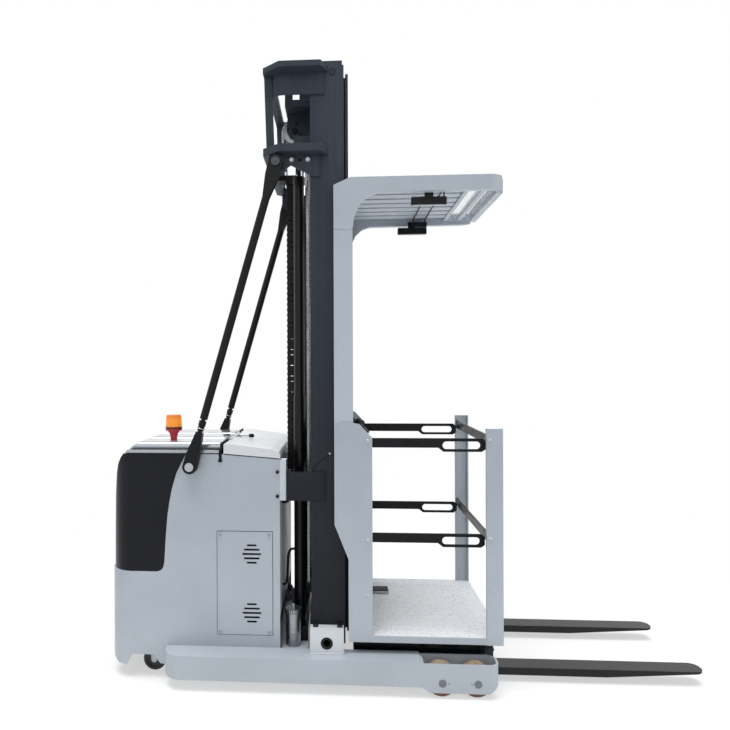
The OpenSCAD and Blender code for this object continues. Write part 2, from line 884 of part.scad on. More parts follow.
module carriage() {
    color("dimgray")
        union() {
            both_sides() {
                span(inner_x0 + 40, floor_x0, -carriage_y, -carriage_y + 14, 300, 900);
                for (z = [380, 820])
                    cross_bar((inner_x0 + 11 + inner_x1) / 2, z, (inner_x1 - inner_x0 - 11) / 2 - 18,
                        -(inner_out + inner_in) / 2 + inner_web / 2 + 5,
                        -carriage_y + 2);
            }
            span(inner_x1 + 9, floor_x0 - 0.3, -post_in + 0.3, post_in - 0.3, 280, 900);
            // beam that the chains pull on
            difference() {
                span(chain_x - 18, inner_x1 + 10, -chain_y - 23, chain_y + 23, 372, 391.7);
                for (s = [-1, 1])
                    span(chain_x - 12, chain_x + 12, s * chain_y - 15, s * chain_y + 15, 360, 400);
            }
            for (s = [-1, 1])
                span(chain_x - 8, chain_x + 8, s * chain_y - 20, s * chain_y - 15.5, 350, 420);
        }
}

// Side plates beside the operator, with the pivots and stops of the arms
module side_plates() {
    color("lightsteelblue")
        union() {
            both_sides() {
                side_cut(-cab_half, skin - cab_half)
                    polygon([
                        [post_x0, 1277], [-316, 1307], [-276, 1317], [-207, 1307], [-144, 1240],
                            [-144, 262],
                        [cab_front_x - 85, 262], [cab_front_x - 85, 230], [-262, 230], [-262, 636],
                            [post_x0, 808]
                    ]);
                for (i = [0, 1])
                    for (z = [[arm_upper_z, arm_lower_z][i]]) {
                        cross_bar(arm_pivot_x, z, 16, skin - cab_half - 1, -arm_y[i] - seat_gap);
                        cross_bar(arm_pivot_x, z, arm_pin_d / 2, -arm_y[i] - 1, -arm_y[i] + arm_t + 1);
                        cross_bar(arm_pivot_x, z, 14, -arm_y[i] + arm_t + seat_gap, -arm_y[i] + arm_t + 5);
                        // stop under the arm's root
                        cross_bar(arm_pivot_x + 14, z - 23.5 - 6.3, 6, skin - cab_half - 1,
                            -arm_y[i] + arm_t);
                    }
            }
        }
}

module platform() {
    color("white")
        union() {
            span(floor_x0 + 2, cab_front_x - 5, skin - cab_half + seat_gap,
                cab_half - skin - seat_gap, floor_z - 8, floor_z);
            span(floor_x0 + 2, cab_front_x - 5, skin - cab_half + seat_gap, skin - cab_half + 26,
                231, floor_z);
            span(floor_x0 + 2, cab_front_x - 5, cab_half - skin - 26, cab_half - skin - seat_gap,
                231, floor_z);
            span(cab_front_x - 25, cab_front_x - 5, skin - cab_half + seat_gap,
                cab_half - skin - seat_gap, 231, floor_z);
        }
}

// Forks with the frame under the floor that carries them
module forks() {
    color("dimgray")
        union() {
            difference() {
                span(floor_x0 + 2, 398, 27 - leg_in, leg_in - 27, 134, floor_z - 8.3);
                span(floor_x0 + 22, 378, 47 - leg_in, leg_in - 47, 100, floor_z - 20);
            }
            for (y = [-120, 110])
                span(floor_x0 + 10, 390, y, y + 10, 134, floor_z - 9);
            both_sides()
                span(398, 428, -fork_y - 55, -fork_y + 55, 134, floor_z - 8.3);
        }
    color("black")
        both_sides() {
            difference() {
                union() {
                    side_cut(-fork_y - fork_w / 2, -fork_y + fork_w / 2)
                        polygon([
                            [428.3, 232], [428.3, fork_z + 26], [454, fork_z], [1024, fork_z],
                            [fork_tip_x, fork_z + fork_t - 9], [fork_tip_x, fork_z + fork_t],
                            [466, fork_z + fork_t], [466, 232]
                        ]);
                    cross_bar(447, 160, 11, -fork_y - fork_w / 2 - 6, -fork_y);
                    cross_bar(447, 208, 11, -fork_y - fork_w / 2 - 6, -fork_y);
                }
                // tip rounded in plan
                for (s = [-1, 1])
                    difference() {
                        span(fork_tip_x - 44, fork_tip_x + 1,
                            s > 0 ? -fork_y + 6 : -fork_y - fork_w / 2 - 1,
                            s > 0 ? -fork_y + fork_w / 2 + 1 : -fork_y - 6, 0, 200);
                        translate([fork_tip_x - 44, -fork_y + s * 6, -1])
                            cylinder(r = 44, h = 202);
                    }
            }
        }
}

module guard_posts() {
    color("lightsteelblue")
        both_sides()
            difference() {
                span(post_x0, post_x1, skin - cab_half + seat_gap, -post_in, floor_z + 0.3, guard_z - 183);
                span(post_x0 + 5, post_x1 - 5, skin - cab_half + 5.3, -post_in - 5, 200, guard_z);
                // notch beside the leg's foot and the lower part of the mast
                side_cut(-cab_half, -post_in + 1)
                    polygon([[post_x0 - 1, 200], [-262, 200], [-262, 636], [post_x0 - 1, 808]]);
            }
}

slat_step = post_in / 4;
guard_r = 90;                     // outer front corners of the guard

module guard_roof() {
    color("lightsteelblue")
        union() {
            both_sides()
                difference() {
                    side_cut(skin - cab_half + seat_gap, -post_in)
                        polygon([
                            [post_x0, guard_z - 182.7], [post_x0, guard_z + 33], [-247,
                                guard_z + guard_rim_h],
                            [guard_front_x, guard_z + guard_rim_h], [guard_front_x, guard_z],
                            [-110, guard_z - 6], [-160, guard_z - 22], [-200, guard_z - 58],
                            [-228, guard_z - 120], [post_x1, guard_z - 182.7]
                        ]);
                    // outer front corner
                    difference() {
                        span(guard_front_x - guard_r, guard_front_x + 1, -cab_half - 1,
                            guard_r + skin - cab_half,
                            guard_z - 60, guard_z + 140);
                        translate([guard_front_x - guard_r, guard_r + skin - cab_half + seat_gap,
                            guard_z - 100])
                            cylinder(r = guard_r, h = 400);
                    }
                }
            // front rim
            span(guard_front_x - 34, guard_front_x, guard_r + skin - cab_half, cab_half - skin - guard_r,
                guard_z, guard_z + guard_rim_h);
            // cross bars behind and between the clear panels
            for (x = [post_x1 + 2, 334, 418])
                span(x, x + 22, -post_in - 1, post_in + 1, guard_z + 20, guard_z + 60);
            // slats
            for (i = [-3:3])
                span(post_x1 + 10, 342, i * slat_step - 33, i * slat_step + 33, guard_z + 28, guard_z + 42);
            // sheet over the slats
            span(post_x1 + 10, 342, -post_in - 1, post_in + 1, guard_z + 41, guard_z + 45);
            // ledges of the clear panels
            for (y = [-post_in - 1, post_in - 14])
                span(342, guard_front_x - 30, y, y + 15, guard_z + 20, guard_z + 32);
        }
}

module guard_window() {
    color("whitesmoke")
        for (x = [[356.4, 417.6], [440.4, guard_front_x - 34.4]])
            span(x[0], x[1], -post_in + 0.4, post_in - 0.4, guard_z + 32.3, guard_z + 38);
}

module front_posts() {
    color("lightsteelblue")
        both_sides()
            union() {
                span(cab_front_x - 84.7, cab_front_x - 5, -cab_half, skin - cab_half, 228, post_top_z);
                span(cab_front_x - 84.7, cab_front_x - 77, -cab_half, 20 - cab_half, floor_z + 0.3,
                    post_top_z);
                span(cab_front_x - 13, cab_front_x - 5, -cab_half, 20 - cab_half, floor_z + 0.3,
                    post_top_z);
            }
}

module front_rails() {
    color("black")
        for (z = [1230, 750])
            union() {
                span(cab_front_x - 76.7, cab_front_x - 69, skin - cab_half + seat_gap,
                    cab_half - skin - seat_gap, z - 23, z + 23);
                for (s = [-1, 1])
                    translate([cab_front_x - 69, s * (cab_half - 18), z])
                        rotate([0, 90, 0])
                            cylinder(r = 8, h = 6);
            }
}

module work_lights() {
    color("black")
        both_sides()
            union() {
                span(58, 232, 4 - post_in, 34 - post_in, guard_z - 60, guard_z - 24);
                // bracket on the inner face of the guard's side
                span(122, 166, seat_gap - post_in, 4.3 - post_in, guard_z - 34, guard_z + 18);
                span(122, 166, seat_gap - post_in, 20 - post_in, guard_z - 34, guard_z - 23);
            }
    // junction box and the two wires clipped along the roof's underside
    color("black")
        union() {
            span(140, 232, post_in - 44, post_in - seat_gap, guard_z - 18, guard_z + 8);
            for (x = [150, 222])
                union() {
                    cross_bar(x, guard_z + 24, 3, 24 - post_in, post_in - 20);
                    for (y = [24 - post_in, post_in - 26])
                        span(x - 3, x + 3, y, y + 6, guard_z + (y < 0 ? -24.5 : 7), guard_z + 26);
                }
        }
}

console_half = cab_half - 115;

module console() {
    color("dimgray")
        union() {
            span(floor_x0 + 0.3, -170, -console_half, console_half, 1010, 1190);
            side_cut(-console_half, console_half)
                polygon([[floor_x0 + 0.3, 1190], [floor_x0 + 0.3, 1262], [-220, 1262], [-158,
                    1206], [-158, 1190]]);
            for (y = [-100, 60])
                span(floor_x0 + 0.3, -200, y, y + 40, 900.3, 1011);
        }
    color("black")
        union() {
            translate([-205, 90 - console_half, 1240])
                cylinder(r = 11, h = 60);
            translate([-205, 90 - console_half, 1300])
                sphere(r = 19);
            translate([-196, 150, 1225])
                rotate([0, 42, 0])
                    cylinder(r = 14, h = 30);
            translate([-188, 150, 1240])
                rotate([0, 42, 0])
                    cylinder(r = 66, h = 16);
        }
}

module floor_pedal() {
    color("black")
        union() {
            span(-119, -21, 150, 235, floor_z + 0.3, floor_z + 14);
            span(-113, -27, 156, 229, floor_z + 13, floor_z + 18);
        }
}

// Side arms

// One arm with its slotted grip, its pivot at the origin and its inner face at y = 0
module arm(len) {
    color("black")
        difference() {
            side_cut(0, arm_t)
                union() {
                    circle(r = 23.5);
                    translate([0, -23.5])
                        square([len - 40, 47]);
                    polygon([
                        [len - 230, -23.5], [len - 205, -43], [len - 18, -43], [len, -30],
                        [len, 10], [len - 16, 23.5], [len - 230, 23.5]
                    ]);
                }
            side_cut(-1, arm_t + 1)
                union() {
                    translate([len - 190, -30])
                        square([146, 38]);
                    translate([len - 190, -11])
                        circle(r = 19);
                    translate([len - 44, -11])
                        circle(r = 19);
                }
            cross_bar(0, 0, arm_pin_d / 2 + 0.1, -1, arm_t + 1);
        }
}

arm_len = arm_tip_x - arm_pivot_x;

module arm_at(s, i, z) {
    translate([arm_pivot_x, s > 0 ? arm_y[i] - arm_t : -arm_y[i], z])
        arm(arm_len);
}

module arm_right_upper() {
    arm_at(-1, 0, arm_upper_z);
}

module arm_right_lower() {
    arm_at(-1, 1, arm_lower_z);
}

module arm_left_upper() {
    arm_at(1, 0, arm_upper_z);
}

module arm_left_lower() {
    arm_at(1, 1, arm_lower_z);
}

// Wheels

// Wheel on an axle along Y, with a hub, a tread and a bore
module plain_wheel(x, y, z, d, w, bore) {
    difference() {
        union() {
            cross_bar(x, z, d / 2, y - w / 2 + 4, y + w / 2 - 4);
            cross_bar(x, z, d / 2 - 4, y - w / 2, y + w / 2);
        }
        for (s = [-1, 1])
            difference() {
                cross_bar(x, z, d / 2 - 16, y + s * (w / 2 - 2) - 4, y + s * (w / 2 - 2) + 4);
                cross_bar(x, z, bore + 12, y - w, y + w);
            }
        cross_bar(x, z, bore, y - w, y + w);
    }
}

module load_wheel(s, i) {
    color("peru")
        plain_wheel(load_axle_x[i], s * leg_mid, load_axle_z, load_wheel_d, load_wheel_w,
            load_axle_d / 2 + 0.05);
}

module load_wheel_right_rear() {
    load_wheel(-1, 0);
}

module load_wheel_right_front() {
    load_wheel(-1, 1);
}

module load_wheel_left_rear() {
    load_wheel(1, 0);
}

module load_wheel_left_front() {
    load_wheel(1, 1);
}

// Motor through the deck and the arm that holds the drive wheel
module drive_unit() {
    color("dimgray")
        union() {
            translate([drive_x, 0, deck_z + deck_t + seat_gap])
                cylinder(r = 95, h = 230);
            translate([drive_x, 0, deck_z - 14])
                cylinder(r = 60, h = deck_t + 20);
            translate([drive_x, 0, deck_z - 14 - seat_gap])
                cylinder(r = 92, h = 13.7);
            span(drive_x - 60, drive_x + 60, 46, 74, drive_wheel_d / 2 - 50, deck_z - 5);
            cross_bar(drive_x, drive_wheel_d / 2, 20, -38, 48);
        }
}

module drive_wheel() {
    color("saddlebrown")
        plain_wheel(drive_x, 0, drive_wheel_d / 2, drive_wheel_d, 72, 20.05);
}

module caster_fork(s) {
    color("dimgray")
        translate([caster_x, s * caster_y, 0])
            union() {
                cylinder_z = caster_d + 14;
                translate([0, 0, deck_z - 20])
                    cylinder(r = 30, h = 20 - seat_gap);
                translate([0, 0, deck_z - 1])
                    cylinder(r = 12, h = deck_t + 6);
                translate([0, 0, cylinder_z])
                    cylinder(r = 30, h = deck_z - 19 - cylinder_z);
                span(-50, 30, -30, 30, caster_d + 6, caster_d + 16);
                for (c = [-1, 1])
                    difference() {
                        side_cut(c * 27 - 3, c * 27 + 3)
                            union() {
                                translate([-caster_trail, caster_d / 2])
                                    circle(r = 15);
                                polygon([
                                    [-caster_trail - 15, caster_d / 2], [-caster_trail + 15, caster_d / 2],
                                    [30, caster_d + 8], [-50, caster_d + 8]
                                ]);
                            }
                    }
                cross_bar(-caster_trail, caster_d / 2, 6, -30, 30);
            }
}

module caster_fork_right() {
    caster_fork(-1);
}

module caster_fork_left() {
    caster_fork(1);
}

module caster_wheel(s) {
    color("black")
        plain_wheel(caster_x - caster_trail, s * caster_y, caster_d / 2, caster_d, caster_w, 6.05);
}

module caster_wheel_right() {
    caster_wheel(-1);
}

module caster_wheel_left() {
    caster_wheel(1);
}

base_frame();
wheel_axles();
body_shell();
rear_cover();
hood();
access_panels();
battery();
beacon_base();
beacon_lens();
mast_rails();
mast_ties();
mast_feet();
mast_clamps();
lift_cylinders();
stay_rods();
stay_pins();
hydraulic_pot();
hoses();
cable_chain();
battery_lid();
inner_rails();
lift_head();
lift_rods();
sheaves();
lift_chains();
carriage();
side_plates();
platform();
forks();
guard_posts();
guard_roof();
guard_window();
front_posts();
front_rails();
work_lights();
console();
floor_pedal();
arm_right_upper();
arm_right_lower();
arm_left_upper();
arm_left_lower();
load_wheel_right_rear();
load_wheel_right_front();
load_wheel_left_rear();
load_wheel_left_front();
drive_unit();
drive_wheel();
caster_fork_right();
caster_fork_left();
caster_wheel_right();
caster_wheel_left();
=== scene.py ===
import math

import bmesh
import bpy
from mathutils import Matrix, Vector


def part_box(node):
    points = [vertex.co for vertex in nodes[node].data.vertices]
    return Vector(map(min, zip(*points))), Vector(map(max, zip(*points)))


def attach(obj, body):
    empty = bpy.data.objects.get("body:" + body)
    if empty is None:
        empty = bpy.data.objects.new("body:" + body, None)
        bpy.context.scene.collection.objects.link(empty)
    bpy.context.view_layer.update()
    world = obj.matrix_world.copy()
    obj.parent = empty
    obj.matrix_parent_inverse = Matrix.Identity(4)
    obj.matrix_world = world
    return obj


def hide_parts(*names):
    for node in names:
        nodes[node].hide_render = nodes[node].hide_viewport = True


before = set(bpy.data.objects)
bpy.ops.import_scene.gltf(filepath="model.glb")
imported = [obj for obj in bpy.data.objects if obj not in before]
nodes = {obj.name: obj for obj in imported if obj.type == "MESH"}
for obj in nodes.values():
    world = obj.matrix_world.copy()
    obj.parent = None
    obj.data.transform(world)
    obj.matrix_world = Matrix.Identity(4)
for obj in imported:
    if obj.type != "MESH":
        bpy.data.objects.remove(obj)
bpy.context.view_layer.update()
scene = bpy.context.scene
scene.view_settings.view_transform = "Standard"

# The view of the photograph: a camera at eye height on the truck's right side, level and
# turned a little towards the rear. The principal point lies left of the picture's middle.
PICTURE = 730
FOCAL_LENGTH = 620
MIDDLE_X = 299
camera_data = bpy.data.cameras.new("camera")
camera_data.sensor_width = 36
camera_data.lens = camera_data.sensor_width * FOCAL_LENGTH / PICTURE
camera_data.shift_x = (PICTURE / 2 - MIDDLE_X) / PICTURE
camera_data.clip_end = 60
camera = bpy.data.objects.new("camera", camera_data)
camera.location = (-0.311, -3.490, 1.600)
camera.rotation_euler = (math.radians(90), math.radians(0.2), math.radians(3.6))
scene.collection.objects.link(camera)
scene.camera = camera


# Pale studio: white surroundings, one broad lamp overhead and two weak ones, in front and
# on the fork side. Camera, mirror and glass rays see plain white.
WHITE = (1, 1, 1, 1)


def linear(hex_colour):
    """Hex sRGB colour turned to the linear values that a shader takes."""
    h = hex_colour.lstrip("#")
    parts = [int(h[i:i + 2], 16) / 255 for i in (0, 2, 4)]
    return tuple(p / 12.92 if p <= 0.04045 else ((p + 0.055) / 1.055) ** 2.4 for p in parts) + (1.0,)


def add(tree, kind, inputs=None, **settings):
    """Adds a node with its settings. An input is a plain value, or a socket to link from."""
    made = tree.nodes.new(kind)
    for name, value in settings.items():
        setattr(made, name, value)
    for name, value in (inputs or {}).items():
        socket = made.inputs[name]
        if isinstance(value, bpy.types.NodeSocket):
            tree.links.new(value, socket)
        else:
            socket.default_value = value
    return made


world = bpy.data.worlds.new("studio")
scene.world = world
world.use_nodes = True
sky = world.node_tree
sky.nodes.clear()
rays = add(sky, "ShaderNodeLightPath")
seen = add(sky, "ShaderNodeMath", {0: rays.outputs["Is Camera Ray"], 1: rays.outputs["Is Transmission Ray"]},
           operation="MAXIMUM")
mirrored = add(sky, "ShaderNodeMath", {0: seen.outputs[0], 1: rays.outputs["Is Glossy Ray"]}, operation="MAXIMUM")
soft = add(sky, "ShaderNodeBackground", {"Color": linear("#EEF1F5"), "Strength": 0.42})
white = add(sky, "ShaderNodeBackground", {"Color": WHITE, "Strength": 1.0})
mixed = add(sky, "ShaderNodeMixShader", {0: mirrored.outputs[0], 1: soft.outputs[0], 2: white.outputs[0]})
add(sky, "ShaderNodeOutputWorld", {"Surface": mixed.outputs[0]})


def lamp(name, place, power):
    """A broad, distant lamp that shines from a side of the truck, given as a direction."""
    data = bpy.data.lights.new(name, "SUN")
    data.angle = math.radians(38)
    data.energy = power
    made = bpy.data.objects.new(name, data)
    made.location = place
    made.rotation_euler = Vector(place).to_track_quat("Z", "Y").to_euler()
    scene.collection.objects.link(made)


lamp("lamp_overhead", (-0.3, -0.5, 4.2), 2.8)
lamp("lamp_front", (-1.6, -5.0, 2.2), 0.2)
lamp("lamp_forks", (4.2, -1.6, 1.6), 0.45)

# Pale floor: matt painted screed. It takes the truck's soft shadow and fades to plain white
# around it.
def surface(name):
    """Makes a material with an empty node tree, and gives both."""
    made = bpy.data.materials.new(name)
    made.use_nodes = True
    made.node_tree.nodes.clear()
    return made, made.node_tree


FLOOR_CLEAR = 1.5
FLOOR_EDGE = 3.2
FLOOR_SHADE = 0.55
shape = bmesh.new()
bmesh.ops.create_circle(shape, cap_ends=True, radius=FLOOR_EDGE + 0.4, segments=96)
floor_mesh = bpy.data.meshes.new("floor")
shape.to_mesh(floor_mesh)
shape.free()
floor = bpy.data.objects.new("floor", floor_mesh)
floor.location = (0, 0, -0.001)
scene.collection.objects.link(floor)
paint, tree = surface("pale_floor")
place = add(tree, "ShaderNodeTexCoord")
reach = add(tree, "ShaderNodeVectorMath", {0: place.outputs["Object"]}, operation="LENGTH")
fade = add(tree, "ShaderNodeMapRange", {"Value": reach.outputs["Value"], "From Min": FLOOR_CLEAR,
                                        "From Max": FLOOR_EDGE, "To Min": FLOOR_SHADE, "To Max": 1.0})
matt = add(tree, "ShaderNodeBsdfDiffuse", {"Color": (0.92, 0.92, 0.92, 1)})
glow = add(tree, "ShaderNodeEmission", {"Color": WHITE, "Strength": 1.0})
floor_rays = add(tree, "ShaderNodeLightPath")
plain = add(tree, "ShaderNodeMath", {0: floor_rays.outputs["Is Camera Ray"],
                                     1: floor_rays.outputs["Is Glossy Ray"]}, operation="MAXIMUM")
both = add(tree, "ShaderNodeMath", {0: plain.outputs[0], 1: fade.outputs[0]}, operation="MULTIPLY")
shown = add(tree, "ShaderNodeMixShader", {0: both.outputs[0], 1: matt.outputs[0], 2: glow.outputs[0]})
add(tree, "ShaderNodeOutputMaterial", {"Surface": shown.outputs[0]})
floor_mesh.materials.append(paint)


# Body, legs and their small fittings: bent and welded sheet in pale blue-grey powder coat.
# The coat has a fine orange peel, paler rubbed edges, and road dust towards the floor.
SIDES = ((-1, "right"), (1, "left"))
EDGE_WIDTH = 0.0016
DUST_HEIGHT = 0.45
# Heights in metres between which the mast goes from painted shade low down to painted light at the top.
PAINTED_SHADE_LOW = 0.3
PAINTED_SHADE_HIGH = 2.9


def coat(name, colour, rough, peel=0.25, metal=0.0, cloud=0.05, dust=0.0, clear=0.0, grain=2.2, shine=0.5,
         edge="", wear=0.35, streak=0.0, painted_height_shade=0.0, second=None, shaded_bore=None):
    """Painted, plated or moulded surface. Grain is the spacing of its fine relief in millimetres, edge the
    colour of its rubbed edges, streak the depth of the long upright marks of grease, the height shade
    argument how much darker it is painted towards the floor and paler towards the top, as painted shade
    and painted light, second an axis, a place on it and the colour beyond that place, and the bore argument
    the x, z and radius of a cross hole whose wall is painted black as painted shade."""
    made, t = surface(name)
    at = add(t, "ShaderNodeTexCoord").outputs["Object"]
    clouds = add(t, "ShaderNodeTexNoise", {"Vector": at, "Scale": 3.5, "Detail": 3.0, "Roughness": 0.55})
    tone = add(t, "ShaderNodeMapRange", {"Value": clouds.outputs["Fac"], "From Min": 0.3, "From Max": 0.7,
                                         "To Min": 1 - cloud, "To Max": 1 + cloud}).outputs[0]
    if streak:
        long_way = add(t, "ShaderNodeMapping", {"Vector": at, "Scale": (60.0, 60.0, 1.4)})
        marks = add(t, "ShaderNodeTexNoise", {"Vector": long_way.outputs[0], "Scale": 1.0, "Detail": 4.0,
                                              "Roughness": 0.6})
        deep = add(t, "ShaderNodeMapRange", {"Value": marks.outputs["Fac"], "From Min": 0.35, "From Max": 0.65,
                                             "To Min": 1 - streak, "To Max": 1 + streak})
        tone = add(t, "ShaderNodeMath", {0: tone, 1: deep.outputs[0]}, operation="MULTIPLY").outputs[0]
    ways = add(t, "ShaderNodeSeparateXYZ", {0: at})
    # Painted shade and painted light: the tone is painted darker near the floor and paler near the top.
    if painted_height_shade:
        painted_light_by_height = add(t, "ShaderNodeMapRange", {"Value": ways.outputs["Z"], "From Min": PAINTED_SHADE_LOW,
                                                "From Max": PAINTED_SHADE_HIGH, "To Min": 1 - painted_height_shade, "To Max": 1 + painted_height_shade})
        tone = add(t, "ShaderNodeMath", {0: tone, 1: painted_light_by_height.outputs[0]}, operation="MULTIPLY").outputs[0]
    colour_out = add(t, "ShaderNodeVectorMath", {0: linear(colour)[:3], "Scale": tone}, operation="SCALE").outputs[0]
    if second:
        beyond = add(t, "ShaderNodeMath", {0: ways.outputs[second[0]], 1: second[1]}, operation="GREATER_THAN")
        colour_out = add(t, "ShaderNodeMix", {0: beyond.outputs[0], 6: colour_out, 7: linear(second[2])},
                         data_type="RGBA").outputs[2]
    # Painted shade: the wall of the cross hole is painted near black.
    if shaded_bore:
        from_bore = add(t, "ShaderNodeVectorMath", {0: at, 1: (shaded_bore[0], 0, shaded_bore[1])}, operation="SUBTRACT")
        flat_out = add(t, "ShaderNodeVectorMath", {0: from_bore.outputs[0], 1: (1, 0, 1)}, operation="MULTIPLY")
        away = add(t, "ShaderNodeVectorMath", {0: flat_out.outputs[0]}, operation="LENGTH")
        inside = add(t, "ShaderNodeMath", {0: away.outputs["Value"], 1: shaded_bore[2]}, operation="LESS_THAN")
        colour_out = add(t, "ShaderNodeMix", {0: inside.outputs[0], 6: colour_out, 7: linear("#0E0F12")},
                         data_type="RGBA").outputs[2]
    specks = add(t, "ShaderNodeTexNoise", {"Vector": at, "Scale": 22.0, "Detail": 5.0, "Roughness": 0.7})
    if dust:
        low = add(t, "ShaderNodeMapRange", {"Value": ways.outputs["Z"], "From Min": 0.0, "From Max": DUST_HEIGHT,
                                            "To Min": dust, "To Max": 0.0})
        amount = add(t, "ShaderNodeMath", {0: low.outputs[0], 1: specks.outputs["Fac"]}, operation="MULTIPLY")
        colour_out = add(t, "ShaderNodeMix", {0: amount.outputs[0], 6: colour_out, 7: linear("#8D8B86")},
                         data_type="RGBA").outputs[2]
    rounded = add(t, "ShaderNodeBevel", {"Radius": EDGE_WIDTH}, samples=4).outputs["Normal"]
    if edge:
        flat = add(t, "ShaderNodeNewGeometry").outputs["Normal"]
        turned = add(t, "ShaderNodeVectorMath", {0: rounded, 1: flat}, operation="DOT_PRODUCT")
        worn = add(t, "ShaderNodeMapRange", {"Value": turned.outputs["Value"], "From Min": 0.995, "From Max": 0.9,
                                             "To Min": 0.0, "To Max": wear})
        patchy = add(t, "ShaderNodeMapRange", {"Value": specks.outputs["Fac"], "From Min": 0.4, "From Max": 0.6})
        rubbed = add(t, "ShaderNodeMath", {0: worn.outputs[0], 1: patchy.outputs[0]}, operation="MULTIPLY")
        colour_out = add(t, "ShaderNodeMix", {0: rubbed.outputs[0], 6: colour_out, 7: linear(edge)},
                         data_type="RGBA").outputs[2]
    smear = add(t, "ShaderNodeTexNoise", {"Vector": at, "Scale": 9.0, "Detail": 4.0})
    gloss = add(t, "ShaderNodeMapRange", {"Value": smear.outputs["Fac"], "From Min": 0.3, "From Max": 0.7,
                                          "To Min": max(rough - 0.05, 0.02), "To Max": rough + 0.07})
    fine = add(t, "ShaderNodeTexNoise", {"Vector": at, "Scale": 1000 / grain, "Detail": 2.0})
    relief = add(t, "ShaderNodeBump", {"Height": fine.outputs["Fac"], "Strength": peel, "Distance": 0.0004,
                                       "Normal": rounded})
    skin = add(t, "ShaderNodeBsdfPrincipled", {
        "Base Color": colour_out, "Roughness": gloss.outputs[0], "Metallic": metal, "Specular IOR Level": shine,
        "Coat Weight": clear, "Coat Roughness": 0.08, "Normal": relief.outputs[0]})
    add(t, "ShaderNodeOutputMaterial", {"Surface": skin.outputs[0]})
    return made


def finish_node(name, material):
    """Gives a CAD node its material."""
    mesh = nodes[name].data
    mesh.materials.clear()
    mesh.materials.append(material)


def turn(shape, profile, at, axis=(0, 0, 1), steps=20):
    """Adds a turned body: (radius, height) pairs in millimetres, spun round an axis through a point."""
    spot = Vector(at) * 0.001
    way = Vector(axis).normalized()
    side = way.orthogonal().normalized()
    corners = [shape.verts.new(spot + (side * r + way * h) * 0.001) for r, h in profile]
    edges = [shape.edges.new(pair) for pair in zip(corners, corners[1:])]
    bmesh.ops.spin(shape, geom=corners + edges, cent=spot, axis=way, angle=math.tau, steps=steps, use_merge=True)


def block(shape, x, y, z, rounding=0.8, tilt=0.0, about="Y"):
    """Adds a block between two x, two y and two z in millimetres, with rounded edges and a turn in degrees."""
    corners = bmesh.ops.create_cube(shape, size=0.001)["verts"]
    centre = Vector((sum(x), sum(y), sum(z))) * 0.0005
    bmesh.ops.scale(shape, vec=(abs(x[1] - x[0]), abs(y[1] - y[0]), abs(z[1] - z[0])), verts=corners)
    if tilt:
        bmesh.ops.rotate(shape, cent=(0, 0, 0), matrix=Matrix.Rotation(math.radians(tilt), 3, about), verts=corners)
    bmesh.ops.translate(shape, vec=centre, verts=corners)
    if rounding:
        edges = list({edge for corner in corners for edge in corner.link_edges})
        bmesh.ops.bevel(shape, geom=edges, offset=rounding * 0.001, offset_type="OFFSET", segments=2, profile=0.5,
                        affect="EDGES", material=-1, clamp_overlap=True)


def made_piece(name, shape, material, body, angle=35):
    """Turns a bmesh into a piece of the truck, smooth with sharp edges, that rides on a body."""
    bmesh.ops.remove_doubles(shape, verts=shape.verts, dist=0.000005)
    bmesh.ops.recalc_face_normals(shape, faces=shape.faces)
    mesh = bpy.data.meshes.new(name)
    shape.to_mesh(mesh)
    shape.free()
    mesh.shade_smooth()
    mesh.set_sharp_from_angle(angle=math.radians(angle))
    mesh.materials.append(material)
    made = bpy.data.objects.new(name, mesh)
    scene.collection.objects.link(made)
    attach(made, body)
    return made


def hex_bolt(shape, at, axis, size):
    """Adds a washer and a chamfered hexagon head for a thread of this diameter in millimetres."""
    turn(shape, [(0, 0), (size, 0), (size, size * 0.16), (size * 0.96, size * 0.2), (0, size * 0.2)], at, axis, 24)
    base = Vector(at) + Vector(axis).normalized() * size * 0.2
    turn(shape, [(0, 0), (size * 0.92, 0), (size * 0.92, size * 0.52), (size * 0.8, size * 0.62),
                 (0, size * 0.62)], base, axis, 6)


def cap_screw(shape, at, axis, size):
    """Adds a round head with a socket for a thread of this diameter in millimetres."""
    turn(shape, [(0, size * 0.45), (size * 0.4, size * 0.45), (size * 0.4, size * 0.95), (size * 0.7, size * 0.95),
                 (size * 0.8, size * 0.85), (size * 0.8, 0), (0, 0)], at, axis, 24)


def dome_head(shape, at, axis, radius, height):
    """Adds a domed screw head on a thin washer."""
    rim = radius * 1.35
    turn(shape, [(0, height), (radius * 0.35, height * 0.96), (radius * 0.65, height * 0.8),
                 (radius * 0.88, height * 0.5), (radius * 0.95, 1.2), (rim, 1.2), (rim, 0), (0, 0)], at, axis, 24)


body_coat = coat("powder_coat_pale_blue_grey", "#B0B8C1", 0.42, dust=0.3, edge="#D5DAE0", wear=0.5)
for name in ("base_frame", "body_shell", "access_panels", "side_plates", "front_posts"):
    finish_node(name, body_coat)
zinc = coat("zinc_plated_steel", "#9DA0A5", 0.36, peel=0.15, metal=1.0, cloud=0.1, grain=3)
black_oxide = coat("black_oxide_steel", "#101114", 0.38, peel=0.2, cloud=0.15, shine=0.15)
seal_rubber = coat("black_seal_rubber", "#141518", 0.6, peel=0.3, cloud=0.15, grain=1.2, shine=0.25)

axle_steel = coat("dulled_axle_steel", "#6F747B", 0.5, peel=0.2, cloud=0.15, grain=3)
finish_node("wheel_axles", axle_steel)

